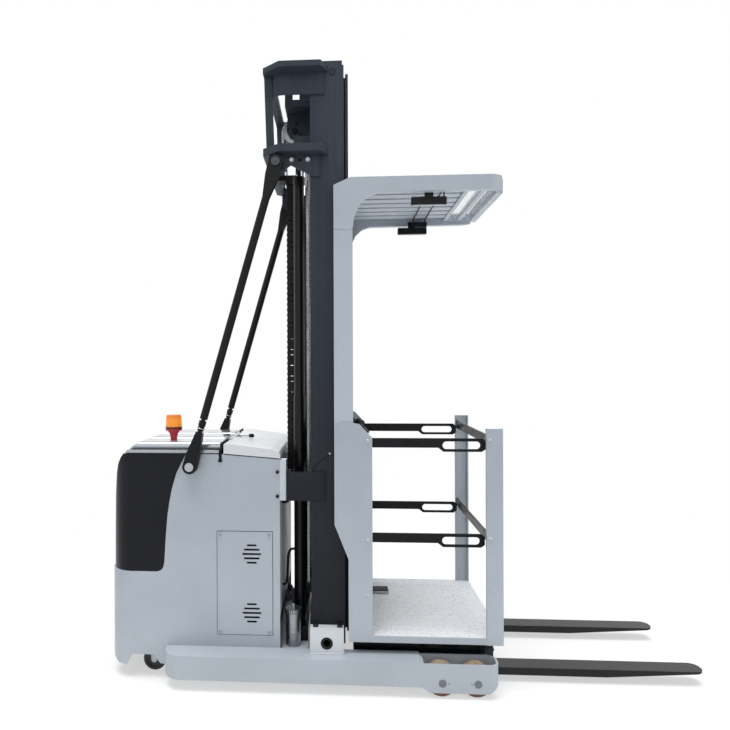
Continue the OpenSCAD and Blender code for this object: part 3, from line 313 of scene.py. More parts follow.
BODY_SIDE = 371.7
PANEL_X = (-926, -645)
PANEL_Z = (236, 757)
PANEL_SCREW_IN = 16
SEAL = 2.4
LEG_SIDE = 490
AXLE_X = (183, 351)
AXLE_Z = 75
DOWEL_STEP = 30
for s, side in SIDES:
    shape = bmesh.new()
    for x in (PANEL_X[0] + PANEL_SCREW_IN, PANEL_X[1] - PANEL_SCREW_IN):
        for z in (PANEL_Z[0] + PANEL_SCREW_IN, PANEL_Z[1] - PANEL_SCREW_IN):
            cap_screw(shape, (x, s * (BODY_SIDE + 5.8), z), (0, s, 0), 6)
    made_piece("panel_screws_" + side, shape, zinc, "chassis")
    # Foam seal that shows as a dark line all round the access panel.
    shape = bmesh.new()
    seal_x, seal_z = (PANEL_X[0] - SEAL, PANEL_X[1] + SEAL), (PANEL_Z[0] + 1, PANEL_Z[1] - 1)
    seal_y = (s * (BODY_SIDE + 0.05), s * (BODY_SIDE + 1.1))
    block(shape, seal_x, seal_y, (PANEL_Z[1] - 1, PANEL_Z[1] + SEAL), 0)
    block(shape, seal_x, seal_y, (PANEL_Z[0] - SEAL, PANEL_Z[0] + 1), 0)
    block(shape, (PANEL_X[0] - SEAL, PANEL_X[0] + 1), seal_y, seal_z, 0)
    block(shape, (PANEL_X[1] - 1, PANEL_X[1] + SEAL), seal_y, seal_z, 0)
    made_piece("panel_seal_" + side, shape, seal_rubber, "chassis")
    shape = bmesh.new()
    for z in (938, 1060):
        cap_screw(shape, (-618, s * BODY_SIDE, z), (0, s, 0), 10)
    made_piece("clamp_screws_" + side, shape, black_oxide, "chassis")
    # Snap washers on the load axles and the dowels beside them.
    shape = bmesh.new()
    for x, dowel_x in ((AXLE_X[0], AXLE_X[0] + DOWEL_STEP), (AXLE_X[1], AXLE_X[1] - DOWEL_STEP)):
        turn(shape, [(12.3, 0), (19, 0), (19, 0.9), (18.4, 1.3), (12.3, 1.3), (12.3, 0)],
             (x, s * LEG_SIDE, AXLE_Z), (0, s, 0), 28)
        turn(shape, [(0, 1.2), (3.2, 1.2), (3.6, 0.8), (3.6, -0.2), (0, -0.2)],
             (dowel_x, s * LEG_SIDE, AXLE_Z), (0, s, 0), 16)
    made_piece("axle_washers_" + side, shape, axle_steel, "chassis")


# Black cover round the body's upper rear: moulded ABS with a deep gloss, faint ripples from
# the mould and fine wiping haze.
cover_gloss = coat("moulded_abs_gloss_black", "#0C0E17", 0.2, peel=0.05, cloud=0.2, grain=30, shine=0.22)
finish_node("rear_cover", cover_gloss)


# Ribbed hood: vacuum-formed cover with a silvery lacquer that mirrors the room in long bands.
# Black strips lie in its grooves as a painted dark reflection, and a strap with a buckle holds it at each side of
# the joint.
hood_lacquer = coat("silver_lacquered_hood", "#A9AEB5", 0.17, peel=0.06, metal=0.6, cloud=0.06, clear=0.6, grain=25)
finish_node("hood", hood_lacquer)
GROOVE_FLOOR = 1168.4
HOOD_FRONT = -916
STRAP_X = (-917, -902)
STRAP_TOP = 1174
shape = bmesh.new()
# black strips on the groove floors: a painted dark reflection of the room
for y in (-113.9, 113.9):
    block(shape, (-1384, HOOD_FRONT), (y - 15, y + 15), (GROOVE_FLOOR, 1170.2), 0.6)
made_piece("hood_groove_painted_reflection", shape, seal_rubber, "chassis")
shape = bmesh.new()
for s in (-1, 1):
    # black strips in the outer grooves: the same painted dark reflection
    block(shape, (-1380, HOOD_FRONT), (s * 327, s * 366), (GROOVE_FLOOR, 1169.8), 0.6)
    # edge of the hood, rolled over the body's rim
    block(shape, (-1398, -914), (s * (BODY_SIDE - 2), s * (BODY_SIDE + 0.6)), (1147.5, 1153), 1.2)
made_piece("hood_edge_rubber_and_groove_strips", shape, seal_rubber, "chassis")
shape = bmesh.new()
block(shape, (-911.5, -903.5), (-370, 370), (1149, 1204.5), 2)
made_piece("hood_front_seal", shape, seal_rubber, "chassis")
shape = bmesh.new()
for s in (-1, 1):
    # strap over the joint, down to a buckle on the body's side
    block(shape, STRAP_X, (s * (BODY_SIDE + 0.3), s * (BODY_SIDE + 3.2)), (1118, STRAP_TOP), 1.2)
    block(shape, STRAP_X, (s * (BODY_SIDE - 20), s * (BODY_SIDE + 3.2)), (1171, STRAP_TOP), 1.2)
    block(shape, (-920, -899), (s * (BODY_SIDE + 0.3), s * (BODY_SIDE + 5.5)), (1108, 1122), 2)
made_piece("hood_straps", shape, black_oxide, "chassis")


# Lid over the battery: pale painted sheet with a rubber lip and a plated
# locking lever, whose black knob points to the mast.
lid_coat = coat("powder_coat_off_white", "#DDE0E3", 0.34, edge="#F2F4F5", wear=0.3)
finish_node("battery_lid", lid_coat)
LIP_SLOPE = 4.5
LEVER = Vector((-868, -40, 1199.4))
LEVER_WAY = (1, 0, -0.02)
shape = bmesh.new()
for s in (-1, 1):
    block(shape, (-889, -607), (s * (BODY_SIDE - 1.6), s * (BODY_SIDE + 0.9)), (1134.5, 1139.5), 1.0,
          LIP_SLOPE)
made_piece("lid_lip", shape, seal_rubber, "lid")
shape = bmesh.new()
turn(shape, [(0, 0), (16, 0), (16, 3), (9, 5), (9, 11), (0, 11)], LEVER, (0, 0, 1), 28)
turn(shape, [(0, 0), (4.5, 0), (4.5, 62), (0, 62)], (LEVER.x, LEVER.y, 1207), LEVER_WAY, 16)
made_piece("lid_lever", shape, zinc, "lid")
shape = bmesh.new()
turn(shape, [(0, 0), (7, 1), (10, 6), (10.5, 20), (8, 29), (0, 31)], (-811, LEVER.y, 1206), LEVER_WAY, 20)
made_piece("lid_lever_knob", shape, black_oxide, "lid")


# Battery: one plain moulded polypropylene case under the lid. Moulding leaves it dull, with
# a fine grain.
finish_node("battery", coat("polypropylene_case_grey", "#3A3D40", 0.6, peel=0.3, grain=1.5, shine=0.3))


# Beacon: red moulded stem and disc, and an amber polycarbonate lens with a fluted wall. The lens
# has a painted glow: it gives off a faint light of its own and is painted yellower in patches round its middle.
beacon_red = coat("moulded_abs_red", "#C8102E", 0.22, peel=0.05, clear=0.4, grain=20)
finish_node("beacon_base", beacon_red)
BEACON = (-1193, -204.7)
FLUTES = 30
FLUTE_LOW = 1274
FLUTE_OUT = 41.1
amber, tree = surface("polycarbonate_amber")
at = add(tree, "ShaderNodeTexCoord").outputs["Object"]
lens_axis = add(tree, "ShaderNodeMapping", {"Vector": at, "Location": (1.193, 0.2047, -1.292)})
middle = add(tree, "ShaderNodeVectorMath", {0: lens_axis.outputs[0]}, operation="LENGTH")
# Painted glow: yellow in patches near the lens's middle and orange further out, in its colour and its emission.
painted_glow_middle = add(tree, "ShaderNodeMapRange", {"Value": middle.outputs["Value"], "From Min": 0.036, "From Max": 0.052,
                                       "To Min": 1.0, "To Max": 0.0})
around = add(tree, "ShaderNodeTexNoise", {"Vector": at, "Scale": 70.0, "Detail": 3.0})
painted_glow_patches = add(tree, "ShaderNodeMath", {0: painted_glow_middle.outputs[0], 1: around.outputs["Fac"]}, operation="MULTIPLY")
tint = add(tree, "ShaderNodeMix", {0: painted_glow_patches.outputs[0], 6: linear("#F08600"), 7: linear("#FFC41E")},
           data_type="RGBA")
lens = add(tree, "ShaderNodeBsdfPrincipled", {
    "Base Color": tint.outputs[2], "Roughness": 0.16, "Transmission Weight": 0.1, "IOR": 1.58,
    "Emission Color": tint.outputs[2], "Emission Strength": 0.22, "Coat Weight": 0.5})
add(tree, "ShaderNodeOutputMaterial", {"Surface": lens.outputs[0]})
finish_node("beacon_lens", amber)
shape = bmesh.new()
turn(shape, [(15.1, 1204.4), (18, 1204.4), (19, 1220), (24, 1236), (30, 1246), (31, 1251.3), (15.1, 1251.3),
             (15.1, 1204.4)], (*BEACON, 0), steps=40)
made_piece("beacon_collar", shape, beacon_red, "chassis")
shape = bmesh.new()
turn(shape, [(42.3, 1259.8), (44.0, 1259.8), (44.6, 1262), (44.4, 1271), (42.2, 1272), (42.3, 1259.8)],
     (*BEACON, 0), steps=48)
made_piece("beacon_band", shape, coat("smoked_amber_plastic", "#5A1606", 0.2, peel=0.05, grain=20), "chassis")
shape = bmesh.new()
for step in range(FLUTES):
    angle = math.tau * step / FLUTES
    outward = Vector((math.cos(angle), math.sin(angle), 0))
    lean = (Vector((0, 0, 76)) - outward * 4).normalized()
    turn(shape, [(0, 0), (1.5, 0), (1.5, 55), (0, 57)], Vector((*BEACON, FLUTE_LOW)) + outward * FLUTE_OUT, lean, 8)
made_piece("beacon_flutes", shape, amber, "chassis")
shape = bmesh.new()
turn(shape, [(0, 1336.1), (37, 1336.1), (39.2, 1335), (39.4, 1332.5), (37.9, 1332.4), (36.6, 1334.6), (0, 1334.8)],
     (*BEACON, 0), steps=48)
made_piece("beacon_rim", shape, amber, "chassis")


# Mast: rolled steel channels with dark blue-grey paint, painted darker towards the floor and paler
# towards the top as painted shade and painted light from the lamp overhead. The inner rails carry
# grease, so they are darker and shine in streaks along their length.
mast_paint = coat("mast_paint_dark_blue_grey", "#2D323B", 0.45, peel=0.3, cloud=0.1, shine=0.2, edge="#5E646E",
                  wear=0.45, streak=0.08, painted_height_shade=0.7)
for name in ("mast_rails", "mast_ties", "inner_rails", "lift_head"):
    finish_node(name, mast_paint)
greasy = coat("greased_mast_paint", "#121418", 0.38, peel=0.3, cloud=0.15, shine=0.2, edge="#3A3D43", wear=0.5,
              streak=0.25)
finish_node("carriage", greasy)
finish_node("lift_cylinders", coat("cylinder_paint_black", "#0E0F12", 0.3, peel=0.2, shine=0.25, streak=0.15))
shape = bmesh.new()
for s in (-1, 1):
    turn(shape, [(0, 0.4), (5, 0.4), (5.6, 2.2), (8.6, 2.6), (11.6, 2.4), (12.6, 0.9), (12.6, -0.2), (0, -0.2)],
         (-337, s * 362.6, 3072), (0, s, 0), 32)
made_piece("rail_top_screws", shape, black_oxide, "chassis")
shape = bmesh.new()
for s in (-1, 1):
    dome_head(shape, (-354, s * 365.1, 1153), (0, s, 0), 4.5, 3.4)
made_piece("rail_cable_screws", shape, zinc, "chassis")


def wire(name, points, radius, material, body):
    """A held cable or weld bead: a round curve through points in millimetres."""
    curve = bpy.data.curves.new(name, "CURVE")
    curve.dimensions = "3D"
    curve.bevel_depth = radius * 0.001
    curve.bevel_resolution = 2
    curve.use_fill_caps = True
    line = curve.splines.new("NURBS")
    line.points.add(len(points) - 1)
    for spot, point in zip(line.points, points):
        spot.co = (*(Vector(point) * 0.001), 1)
    line.order_u = min(3, len(points))
    line.use_endpoint_u = True
    line.resolution_u = 6
    curve.materials.append(material)
    made = bpy.data.objects.new(name, curve)
    scene.collection.objects.link(made)
    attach(made, body)


# Earth cables: thin stranded copper in black rubber, from each clamp's top to the screw on
# the rail.
for s, side in SIDES:
    wire("earth_cable_" + side, [(-438, s * 367.8, 1063), (-438, s * 367.8, 1082), (-425, s * 367.6, 1098),
                                 (-396, s * 367.2, 1118), (-372, s * 367.2, 1138), (-357, s * 367.4, 1150)],
         1.7, seal_rubber, "chassis")


# Clamps between the body and the mast: dark painted boxes on a pale bracket plate. The
# powder coat of the bracket stops where the box is bolted on.
clamp_coat = coat("clamp_paint_pale_and_dark", "#CDD3D9", 0.42, peel=0.25, cloud=0.1, shine=0.2,
                  second=("X", -0.5745, "#1D1F28"))
finish_node("mast_clamps", clamp_coat)
shape = bmesh.new()
for s in (-1, 1):
    # raised lid plate of the clamp
    block(shape, (-562, -384), (s * 377.1, s * 379.4), (922, 1055), 6)
made_piece("clamp_lids", shape, clamp_coat, "chassis")


# Feet of the mast on the legs: flame-cut blocks in pale grey paint, welded all round. Their
# tops are black, with two dome screws each, and the wall of the cross hole is painted black as painted shade.
FOOT_HOLE = (-371, 226)
FOOT_HOLE_R = 17.6
foot_paint = coat("brushed_paint_pale_grey", "#CDD1D5", 0.45, peel=0.4, second=("Z", 0.2925, "#15161A"),
                  shaded_bore=[size / 1000 for size in (*FOOT_HOLE, FOOT_HOLE_R)])
finish_node("mast_feet", foot_paint)
for s, side in SIDES:
    wire("foot_weld_" + side, [(-456, s * 430.6, 175.2), (-400, s * 431.6, 175.4), (-340, s * 431.4, 175.2),
                               (-286, s * 430.8, 175.4), (-285.6, s * 400, 175.2), (-285.6, s * 372, 175.2)],
         2.6, foot_paint, "chassis")
    shape = bmesh.new()
    for x in (-427, -307):
        dome_head(shape, (x, s * 383, 302), (0, 0, 1), 6, 5)
    made_piece("foot_bolts_" + side, shape, black_oxide, "chassis")
    # rubber ring pressed into the chamfer of the foot's hole
    shape = bmesh.new()
    turn(shape, [(17.4, 0), (29, 0), (30, 0.6), (29, 1.6), (20, 1.9), (17.4, 1.2), (17.4, 0)],
         (FOOT_HOLE[0], s * 430, FOOT_HOLE[1]), (0, s, 0), 48)
    made_piece("foot_ring_" + side, shape, seal_rubber, "chassis")


# Top bracket and hoops of the mast: welded plate. Each stay bracket has two plated bolts with
# a plain hole between them, and weld beads run where the hoops meet the rails.
BRACKET_SIDE = 379
BRACKET_Z = 2632
for s, side in SIDES:
    shape = bmesh.new()
    for x in (-541, -459):
        hex_bolt(shape, (x, s * BRACKET_SIDE, BRACKET_Z), (0, s, 0), 13)
    made_piece("bracket_bolts_" + side, shape, zinc, "chassis")
    shape = bmesh.new()
    turn(shape, [(0, 0.15), (6.5, 0.15), (8, 0.5), (8.6, 0), (0, -0.2)],
         (-500, s * BRACKET_SIDE, BRACKET_Z), (0, s, 0), 24)
    made_piece("bracket_hole_" + side, shape, black_oxide, "chassis")
    wire("hoop_weld_" + side, [(-576, s * 374.2, 2963), (-520, s * 374.6, 2963), (-450, s * 374.2, 2963),
                               (-382, s * 374.4, 2963)], 1.6, mast_paint, "chassis")


# Stays: drawn tube in black enamel, with a forged eye and a pin at each end, and two lock nuts
# above the lower eye. The upper pins are painted over, the lower ones are bright.
enamel = coat("semi_gloss_black_enamel", "#0E0F12", 0.36, peel=0.3, cloud=0.12, shine=0.2, edge="#3C3F44", wear=0.3)
for name in ("stay_rods", "front_rails", "arm_right_upper", "arm_right_lower", "arm_left_upper", "arm_left_lower"):
    finish_node(name, enamel)
PAINTED_FROM = 2.0
pin_coat, tree = surface("pin_steel_and_paint")
at = add(tree, "ShaderNodeTexCoord").outputs["Object"]
up = add(tree, "ShaderNodeSeparateXYZ", {0: at})
painted = add(tree, "ShaderNodeMath", {0: up.outputs["Z"], 1: PAINTED_FROM}, operation="GREATER_THAN")
turned = add(tree, "ShaderNodeTexNoise", {"Vector": at, "Scale": 120.0, "Detail": 3.0})
steel_tone = add(tree, "ShaderNodeMix", {0: turned.outputs["Fac"], 6: linear("#A3A7AC"), 7: linear("#BCBFC3")},
                 data_type="RGBA")
pin_tone = add(tree, "ShaderNodeMix", {0: painted.outputs[0], 6: steel_tone.outputs[2], 7: linear("#3D4248")},
               data_type="RGBA")
metal = add(tree, "ShaderNodeMath", {0: 1.0, 1: painted.outputs[0]}, operation="SUBTRACT")
skin = add(tree, "ShaderNodeBsdfPrincipled", {"Base Color": pin_tone.outputs[2], "Metallic": metal.outputs[0],
                                              "Roughness": 0.35})
add(tree, "ShaderNodeOutputMaterial", {"Surface": skin.outputs[0]})
finish_node("stay_pins", pin_coat)
STAY_LOW = Vector((-1058, 0, 1089))
STAY_HIGH = Vector((-618, 0, 2614))
STAY_Y = 399.3
PIN_END = 428.9
stay_way = (STAY_HIGH - STAY_LOW).normalized()
for s, side in SIDES:
    shape = bmesh.new()
    for reach_mm in (188, 204):
        spot = STAY_LOW + stay_way * reach_mm + Vector((0, s * STAY_Y, 0))
        turn(shape, [(0, 0), (17.5, 0), (17.5, 9), (15.5, 11), (0, 11)], spot, stay_way, 6)
    made_piece("stay_nuts_" + side, shape, black_oxide, "chassis")
    shape = bmesh.new()
    spot = STAY_LOW + stay_way * 200 + Vector((0, s * STAY_Y, 0))
    turn(shape, [(0, 0), (21, 0), (21, 2.6), (20, 3.4), (0, 3.4)], spot, stay_way, 28)
    for point in (STAY_LOW, STAY_HIGH):
        turn(shape, [(0, 0), (6.5, 0), (6.5, 1.0), (5.5, 1.8), (0, 1.8)], point + Vector((0, s * PIN_END, 0)),
             (0, s, 0), 20)
    made_piece("stay_washers_" + side, shape, pin_coat, "chassis")


# Lifting rods and sheaves: hard chrome, and turned steel rims that the chain keeps bright.
finish_node("lift_rods", coat("hard_chromed_rod", "#D5D8DC", 0.07, peel=0.02, metal=1.0, cloud=0.03))
finish_node("sheaves", coat("machined_bright_steel", "#85888D", 0.32, peel=0.3, metal=1.0, cloud=0.2, grain=2))
SHEAVE = (-540, 2865)
CHEEK_SIDE = 145
shape = bmesh.new()
for s in (-1, 1):
    turn(shape, [(0, 0), (17, 0), (17, 5), (15, 7), (0, 7)], (SHEAVE[0], s * CHEEK_SIDE, SHEAVE[1]), (0, s, 0), 28)
    for dx, dz in ((-36, 12), (30, -16), (8, 40)):
        turn(shape, [(0, 0.5), (2.6, 0.5), (2.8, 4.2), (5.2, 4.2), (6, 3.4), (6, 0), (0, 0)],
             (SHEAVE[0] + dx, s * CHEEK_SIDE, SHEAVE[1] + dz), (0, s, 0), 20)
made_piece("cheek_screws", shape, black_oxide, "inner_mast")


# Leaf chains over the sheaves: plates laced on pins with riveted ends, in oiled steel. The
# links ride with the inner mast.
chain_steel = coat("oiled_chain_steel", "#A2A4A7", 0.32, peel=0.3, metal=1.0, cloud=0.4, grain=4)
finish_node("lift_chains", chain_steel)
CHAIN_PITCH = 17
CHAIN_RADIUS = 66
CHAIN_Y = 120
CHAIN_LOW = {"front": 396, "rear": 2680}
PLATE_THICK = 2.2
PLATE_HALF_WIDTH = 6.2
PLATE_HALF_LENGTH = 13.5
# Distances of the plates' near faces from the chain's middle, for every other link.
LACING = ((-10.2, -5.0, 0.2, 5.4), (-7.6, -2.4, 2.8, 8.0))
stops = []
height_now = CHAIN_LOW["front"]
while height_now < SHEAVE[1]:
    stops.append((Vector((SHEAVE[0] + CHAIN_RADIUS, 0, height_now)), 0.0))
    height_now += CHAIN_PITCH
turned_by = (height_now - SHEAVE[1]) / CHAIN_RADIUS
while turned_by < math.pi:
    stops.append((Vector((SHEAVE[0] + CHAIN_RADIUS * math.cos(turned_by), 0,
                          SHEAVE[1] + CHAIN_RADIUS * math.sin(turned_by))), turned_by))
    turned_by += CHAIN_PITCH / CHAIN_RADIUS
height_now = SHEAVE[1] - (turned_by - math.pi) * CHAIN_RADIUS
while height_now > CHAIN_LOW["rear"]:
    stops.append((Vector((SHEAVE[0] - CHAIN_RADIUS, 0, height_now)), math.pi))
    height_now -= CHAIN_PITCH
for s, side in SIDES:
    shape = bmesh.new()
    for count, (spot, lean) in enumerate(stops[:-1]):
        ahead = stops[count + 1][0]
        centre = (spot + ahead) / 2 + Vector((0, s * CHAIN_Y, 0))
        way = (ahead - spot).normalized()
        swing = math.degrees(math.atan2(way.x, way.z))
        for layer in LACING[count % 2]:
            block(shape, (centre.x - PLATE_HALF_WIDTH, centre.x + PLATE_HALF_WIDTH),
                  (centre.y + layer, centre.y + layer + PLATE_THICK),
                  (centre.z - PLATE_HALF_LENGTH, centre.z + PLATE_HALF_LENGTH), 0, swing)
        turn(shape, [(0, -12.6), (2.6, -12.6), (3.1, -11.6), (3.1, 11.6), (2.6, 12.6), (0, 12.6)],
             spot + Vector((0, s * CHAIN_Y, 0)), (0, 1, 0), 8)
    links = made_piece("leaf_chain_" + side, shape, chain_steel, "inner_mast")
    if s < 0:
        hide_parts("lift_chains")


# Cable chain up the middle of the mast: moulded nylon links, each with two side plates on
# dome-headed pins and a cross bar.
CABLE_LINKS = 52
CABLE_PITCH = 30
CABLE_LOW = 1030
nylon = coat("moulded_black_nylon", "#0F1013", 0.42, peel=0.3, cloud=0.15, grain=1.5, shine=0.22)
for name in ("cable_chain", "work_lights", "console", "floor_pedal"):
    finish_node(name, nylon)
shape = bmesh.new()
for step in range(CABLE_LINKS):
    z = CABLE_LOW + CABLE_PITCH * step
    for s in (-1, 1):
        block(shape, (-590, -550), (s * 34.1, s * 36.0), (z, z + 26), 0)
        turn(shape, [(0, 0), (5, 0), (5, 3.0), (0, 3.2)], (-570, s * 34.5, z + 5), (0, s, 0), 8)
    block(shape, (-595.6, -592.6), (-30, 30), (z + 4, z + 16), 0)
made_piece("cable_chain_plates", shape, nylon, "chassis")


# Hoses and the hydraulic pot: braided rubber with a dull bloom, crimped steel ends, and a
# plated can held by a band.
POT = (-545, -300)
CAP_RIBS = 24
CAP_RADIUS = 42.2
rubber = coat("black_hose_rubber", "#101114", 0.5, peel=0.5, cloud=0.2, grain=1.6, shine=0.2)
finish_node("hoses", rubber)
for name in ("hydraulic_pot", "caster_fork_right", "caster_fork_left"):
    finish_node(name, zinc)
shape = bmesh.new()
turn(shape, [(38.1, 0), (39.6, 0), (39.6, 16), (38.1, 16), (38.1, 0)], (*POT, 226), steps=40)
block(shape, (POT[0] - 6, POT[0] + 6), (POT[1] - 46, POT[1] - 38.5), (228, 240), 1.0)
made_piece("pot_band", shape, zinc, "chassis")
shape = bmesh.new()
for step in range(CAP_RIBS):
    angle = math.tau * step / CAP_RIBS
    spot = (POT[0] + CAP_RADIUS * math.cos(angle), POT[1] + CAP_RADIUS * math.sin(angle), 328)
    turn(shape, [(0, 0), (2.2, 0), (2.2, 20), (0, 21)], spot, steps=6)
made_piece("pot_cap_ribs", shape, nylon, "chassis")


# Forks: forged arms in gloss black paint, rubbed bright along their upper edges by pallets.
fork_gloss = coat("gloss_black_fork_paint", "#0C0D10", 0.2, peel=0.12, cloud=0.2, grain=8, shine=0.3,
                  edge="#6A6D72", wear=0.6)
finish_node("forks", fork_gloss)
HEEL_FRONT = 466.2
shape = bmesh.new()
for s in (-1, 1):
    for z in (150, 205):
        for y in (232, 280):
            hex_bolt(shape, (HEEL_FRONT, s * y, z), (1, 0, 0), 10)
made_piece("fork_heel_bolts", shape, black_oxide, "cab")


# Side plates and front posts of the cab: domed, painted-over screws hold the arms' pivots
# and the front rails.
CAB_SIDE = 415
for s, side in SIDES:
    shape = bmesh.new()
    for z in (1225, 736, 462):
        dome_head(shape, (-168, s * CAB_SIDE, z), (0, s, 0), 8 if z > 500 else 5.5, 7)
    for z in (1231, 750):
        dome_head(shape, (427, s * CAB_SIDE, z), (0, s, 0), 8, 7)
    dome_head(shape, (446, s * CAB_SIDE, 495), (0, s, 0), 4, 4)
    made_piece("cab_screws_" + side, shape, coat("painted_screw_pale_" + side, "#C3C9CF", 0.3, peel=0.2), "cab")


# Platform floor: white anti-slip mat, speckled with grey and pinkish grit. The real grit is
# about 3 mm; it is drawn at 11 mm, so that it still shows from where the truck is seen whole.
GRIT = 11
mat, tree = surface("anti_slip_mat_speckled")
at = add(tree, "ShaderNodeTexCoord").outputs["Object"]
grit = add(tree, "ShaderNodeTexVoronoi", {"Vector": at, "Scale": 1000 / GRIT})
pick = add(tree, "ShaderNodeMapRange", {"Value": grit.outputs["Distance"], "From Min": 0.2, "From Max": 0.42,
                                        "To Min": 1.0, "To Max": 0.0})
some = add(tree, "ShaderNodeTexNoise", {"Vector": at, "Scale": 60.0, "Detail": 2.0})
chosen = add(tree, "ShaderNodeMapRange", {"Value": some.outputs["Fac"], "From Min": 0.42, "From Max": 0.62,
                                          "To Min": 0.1, "To Max": 0.95})
amount = add(tree, "ShaderNodeMath", {0: pick.outputs[0], 1: chosen.outputs[0]}, operation="MULTIPLY")
grey = add(tree, "ShaderNodeMix", {0: grit.outputs["Color"], 6: linear("#8C97A8"), 7: linear("#B99AA4")},
           data_type="RGBA")
wear = add(tree, "ShaderNodeTexNoise", {"Vector": at, "Scale": 4.0, "Detail": 4.0})
ground = add(tree, "ShaderNodeMix", {0: wear.outputs["Fac"], 6: linear("#F0F2F4"), 7: linear("#E4E7EA")},
             data_type="RGBA")
speckled = add(tree, "ShaderNodeMix", {0: amount.outputs[0], 6: ground.outputs[2], 7: grey.outputs[2]},
               data_type="RGBA")
relief = add(tree, "ShaderNodeBump", {"Height": grit.outputs["Distance"], "Strength": 0.5, "Distance": 0.001})
skin = add(tree, "ShaderNodeBsdfPrincipled", {"Base Color": speckled.outputs[2], "Roughness": 0.62,
                                              "Normal": relief.outputs[0]})
add(tree, "ShaderNodeOutputMaterial", {"Surface": skin.outputs[0]})
finish_node("platform", mat)


# Pedal and console: ribbed rubber pad with plated edges, and a moulded console with keys, a
# dark display, a knob on the small wheel and a bellows on the lever, all plain.
PEDAL_Z = (263, 279)
PANEL_TILT = 42
KEY_STEP_X = 14
KEY_STEP_Y = 22
KEY_DROP = 12.6
BELLOWS = (-205, -210, 0)
BELLOWS_FOOT = 1236
shape = bmesh.new()
for x in range(-108, -30, 11):
    block(shape, (x, x + 5), (160, 225), (279.9, 283.5), 1.2)
made_piece("pedal_ribs", shape, rubber, "cab")
shape = bmesh.new()
block(shape, (-119, -21), (147.5, 149.7), PEDAL_Z, 0.6)
block(shape, (-119, -21), (235.3, 237.5), PEDAL_Z, 0.6)
made_piece("pedal_edges", shape, zinc, "cab")
shape = bmesh.new()
for row in range(3):
    for column in range(4):
        x, y, z = -199 + KEY_STEP_X * row, -60 + KEY_STEP_Y * column, 1239.3 - KEY_DROP * row
        block(shape, (x, x + 10), (y, y + 16), (z, z + 4), 1.5, PANEL_TILT)
key_plastic = coat("moulded_key_grey", "#4B4F55", 0.45, peel=0.2, grain=1.5)
made_piece("console_keys", shape, key_plastic, "cab")
shape = bmesh.new()
block(shape, (-213, -167), (32, 96), (1234.4, 1238.4), 1.5, PANEL_TILT)
display_glass = coat("display_glass_dark", "#0B1014", 0.06, peel=0.0, clear=0.6, grain=30)
made_piece("console_display", shape, display_glass, "cab")
shape = bmesh.new()
wheel_way = Vector((math.sin(math.radians(PANEL_TILT)), 0, math.cos(math.radians(PANEL_TILT))))
wheel_top = Vector((-188, 150, 1240)) + wheel_way * 16
turn(shape, [(0, 6), (20, 6), (26, 3), (28, -0.3), (0, -0.3)], wheel_top, wheel_way, 32)
turn(shape, [(0, 24), (7, 24), (11, 19), (11, 12), (7, 7), (6, -0.3), (0, -0.3)],
     wheel_top + Vector((0, 46, 0)), wheel_way, 24)
made_piece("wheel_knob", shape, black_oxide, "cab")
shape = bmesh.new()
for step in range(6):
    z = BELLOWS_FOOT + 9 * step
    turn(shape, [(11.2, z), (14.5, z + 2), (14.5, z + 5), (11.2, z + 7), (11.2, z)], BELLOWS, steps=24)
made_piece("lever_bellows", shape, rubber, "cab")


# Overhead guard: bent sheet in light grey powder coat, with a strip over the seam on each
# post and clear polycarbonate panels under the roof, hazy from wiping.
guard_coat = coat("powder_coat_light_grey", "#BDC5CE", 0.40, edge="#D5DAE0", wear=0.4)
for name in ("guard_posts", "guard_roof"):
    finish_node(name, guard_coat)
for s, side in SIDES:
    shape = bmesh.new()
    block(shape, (-330.5, -237.5), (s * 408.8, s * 410.2), (2272, 2282), 0.6)
    made_piece("guard_seam_" + side, shape, guard_coat, "cab")
clear, tree = surface("polycarbonate_clear")
at = add(tree, "ShaderNodeTexCoord").outputs["Object"]
haze = add(tree, "ShaderNodeTexNoise", {"Vector": at, "Scale": 40.0, "Detail": 5.0})
rough = add(tree, "ShaderNodeMapRange", {"Value": haze.outputs["Fac"], "To Min": 0.02, "To Max": 0.12})
sheet = add(tree, "ShaderNodeBsdfPrincipled", {
    "Base Color": linear("#F2F6F8"), "Roughness": rough.outputs[0], "Transmission Weight": 0.92, "IOR": 1.58})
add(tree, "ShaderNodeOutputMaterial", {"Surface": sheet.outputs[0]})
finish_node("guard_window", clear)


# Work lights under the guard: finned black housings of moulded nylon with a frosted strip
# below, held by two screws each.
LAMP_X = 64
FIN_STEP = 12
FIN_TOP = 2441
strip = coat("frosted_lens_strip", "#9DA2A8", 0.25, peel=0.1, clear=0.3, grain=2)
for s, side in SIDES:
    shape = bmesh.new()
    for step in range(14):
        x = LAMP_X + FIN_STEP * step
        block(shape, (x, x + 4), (s * 339, s * 365), (2436.1, FIN_TOP), 0)
    for x in (130, 158):
        cap_screw(shape, (x, s * 352, FIN_TOP), (0, 0, 1), 4)
    made_piece("lamp_fins_" + side, shape, nylon, "cab")
    shape = bmesh.new()
    block(shape, (LAMP_X, 226), (s * 341, s * 363), (2396.5, 2399.9), 1.2)
    made_piece("lamp_lens_" + side, shape, strip, "cab")
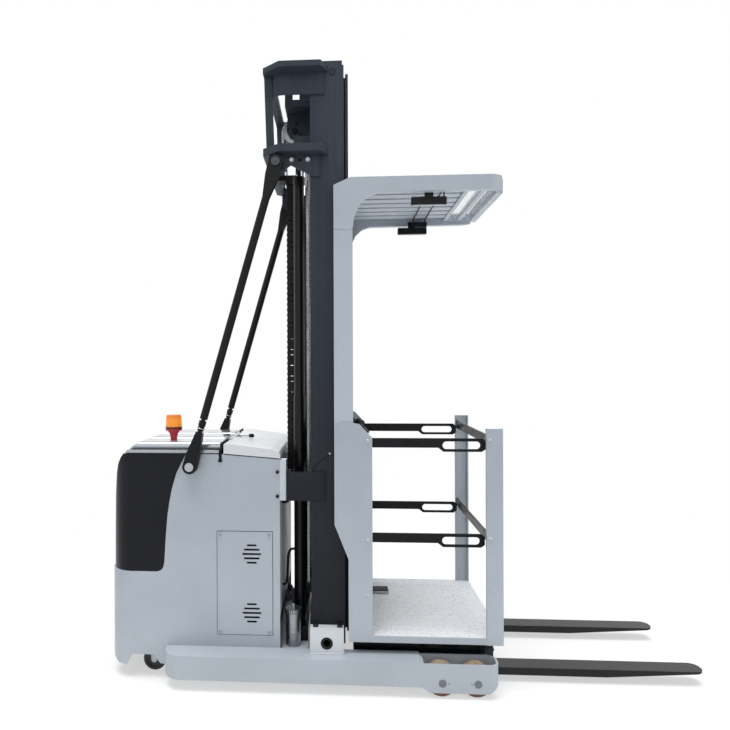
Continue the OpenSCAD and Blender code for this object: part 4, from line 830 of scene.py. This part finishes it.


# Wheels: cast hubs with bonded treads. The load and drive wheels have brown polyurethane,
# the casters grey-black rubber. The treads are paler towards the top, and the running face is worn darker.
def tread(name, colour, paler_top_colour, rough):
    """Tread material, paler towards the top of the wheel and scuffed round its face."""
    made, t = surface(name)
    at = add(t, "ShaderNodeTexCoord").outputs["Object"]
    scuffs = add(t, "ShaderNodeTexNoise", {"Vector": at, "Scale": 35.0, "Detail": 6.0, "Roughness": 0.7})
    up = add(t, "ShaderNodeSeparateXYZ", {0: at})
    # The tread is mixed towards a paler colour in patches towards the top of the wheel.
    high = add(t, "ShaderNodeMapRange", {"Value": up.outputs["Z"], "From Min": 0.05, "From Max": 0.15,
                                         "To Min": 0.15, "To Max": 1.0})
    amount = add(t, "ShaderNodeMath", {0: high.outputs[0], 1: scuffs.outputs["Fac"]}, operation="MULTIPLY")
    base = add(t, "ShaderNodeMix", {0: amount.outputs[0], 6: linear(colour), 7: linear(paler_top_colour)}, data_type="RGBA")
    relief = add(t, "ShaderNodeBump", {"Height": scuffs.outputs["Fac"], "Strength": 0.4, "Distance": 0.001})
    skin = add(t, "ShaderNodeBsdfPrincipled", {"Base Color": base.outputs[2], "Roughness": rough,
                                               "Normal": relief.outputs[0]})
    add(t, "ShaderNodeOutputMaterial", {"Surface": skin.outputs[0]})
    return made


finish_node("drive_unit", coat("machined_cast_iron", "#4A4C50", 0.5, peel=0.6, metal=0.7, cloud=0.15, grain=3))
brown_tread = tread("polyurethane_tread_brown", "#6E3F1C", "#C9BFA8", 0.5)
black_tread = tread("caster_tread_grey_black", "#232325", "#6B6864", 0.6)
hub_steel = coat("cast_hub_grey", "#6B6E72", 0.45, peel=0.5, metal=0.6, cloud=0.15, grain=3)
CASTER_WHEELS = ("caster_wheel_right", "caster_wheel_left")
BIG_WHEELS = ("load_wheel_right_rear", "load_wheel_right_front", "load_wheel_left_rear", "load_wheel_left_front",
              "drive_wheel")
CASTER_HUB_SHARE = 0.42
for name in BIG_WHEELS:
    finish_node(name, brown_tread)
for name in CASTER_WHEELS:
    finish_node(name, black_tread)
for name in BIG_WHEELS + CASTER_WHEELS:
    low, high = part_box(name)
    centre = [(a + b) * 500 for a, b in zip(low, high)]
    half_width = (high[1] - low[1]) * 500
    rim = (high[2] - low[2]) * 500 * (CASTER_HUB_SHARE if name in CASTER_WHEELS else 1)
    shape = bmesh.new()
    for s in (-1, 1):
        # cast disc let into the tread's side, with a raised bearing seat round the bore
        turn(shape, [(rim * 0.3, -0.5), (rim * 0.3, 0.9), (rim * 0.36, 1.2), (rim * 0.42, 0.4), (rim * 0.66, 0.4),
                     (rim * 0.7, 1.1), (rim * 0.74, 0.9), (rim * 0.75, -0.5), (rim * 0.3, -0.5)],
             (centre[0], centre[1] + s * half_width, centre[2]), (0, s, 0), 40)
    made_piece("hub_" + name, shape, hub_steel, name)
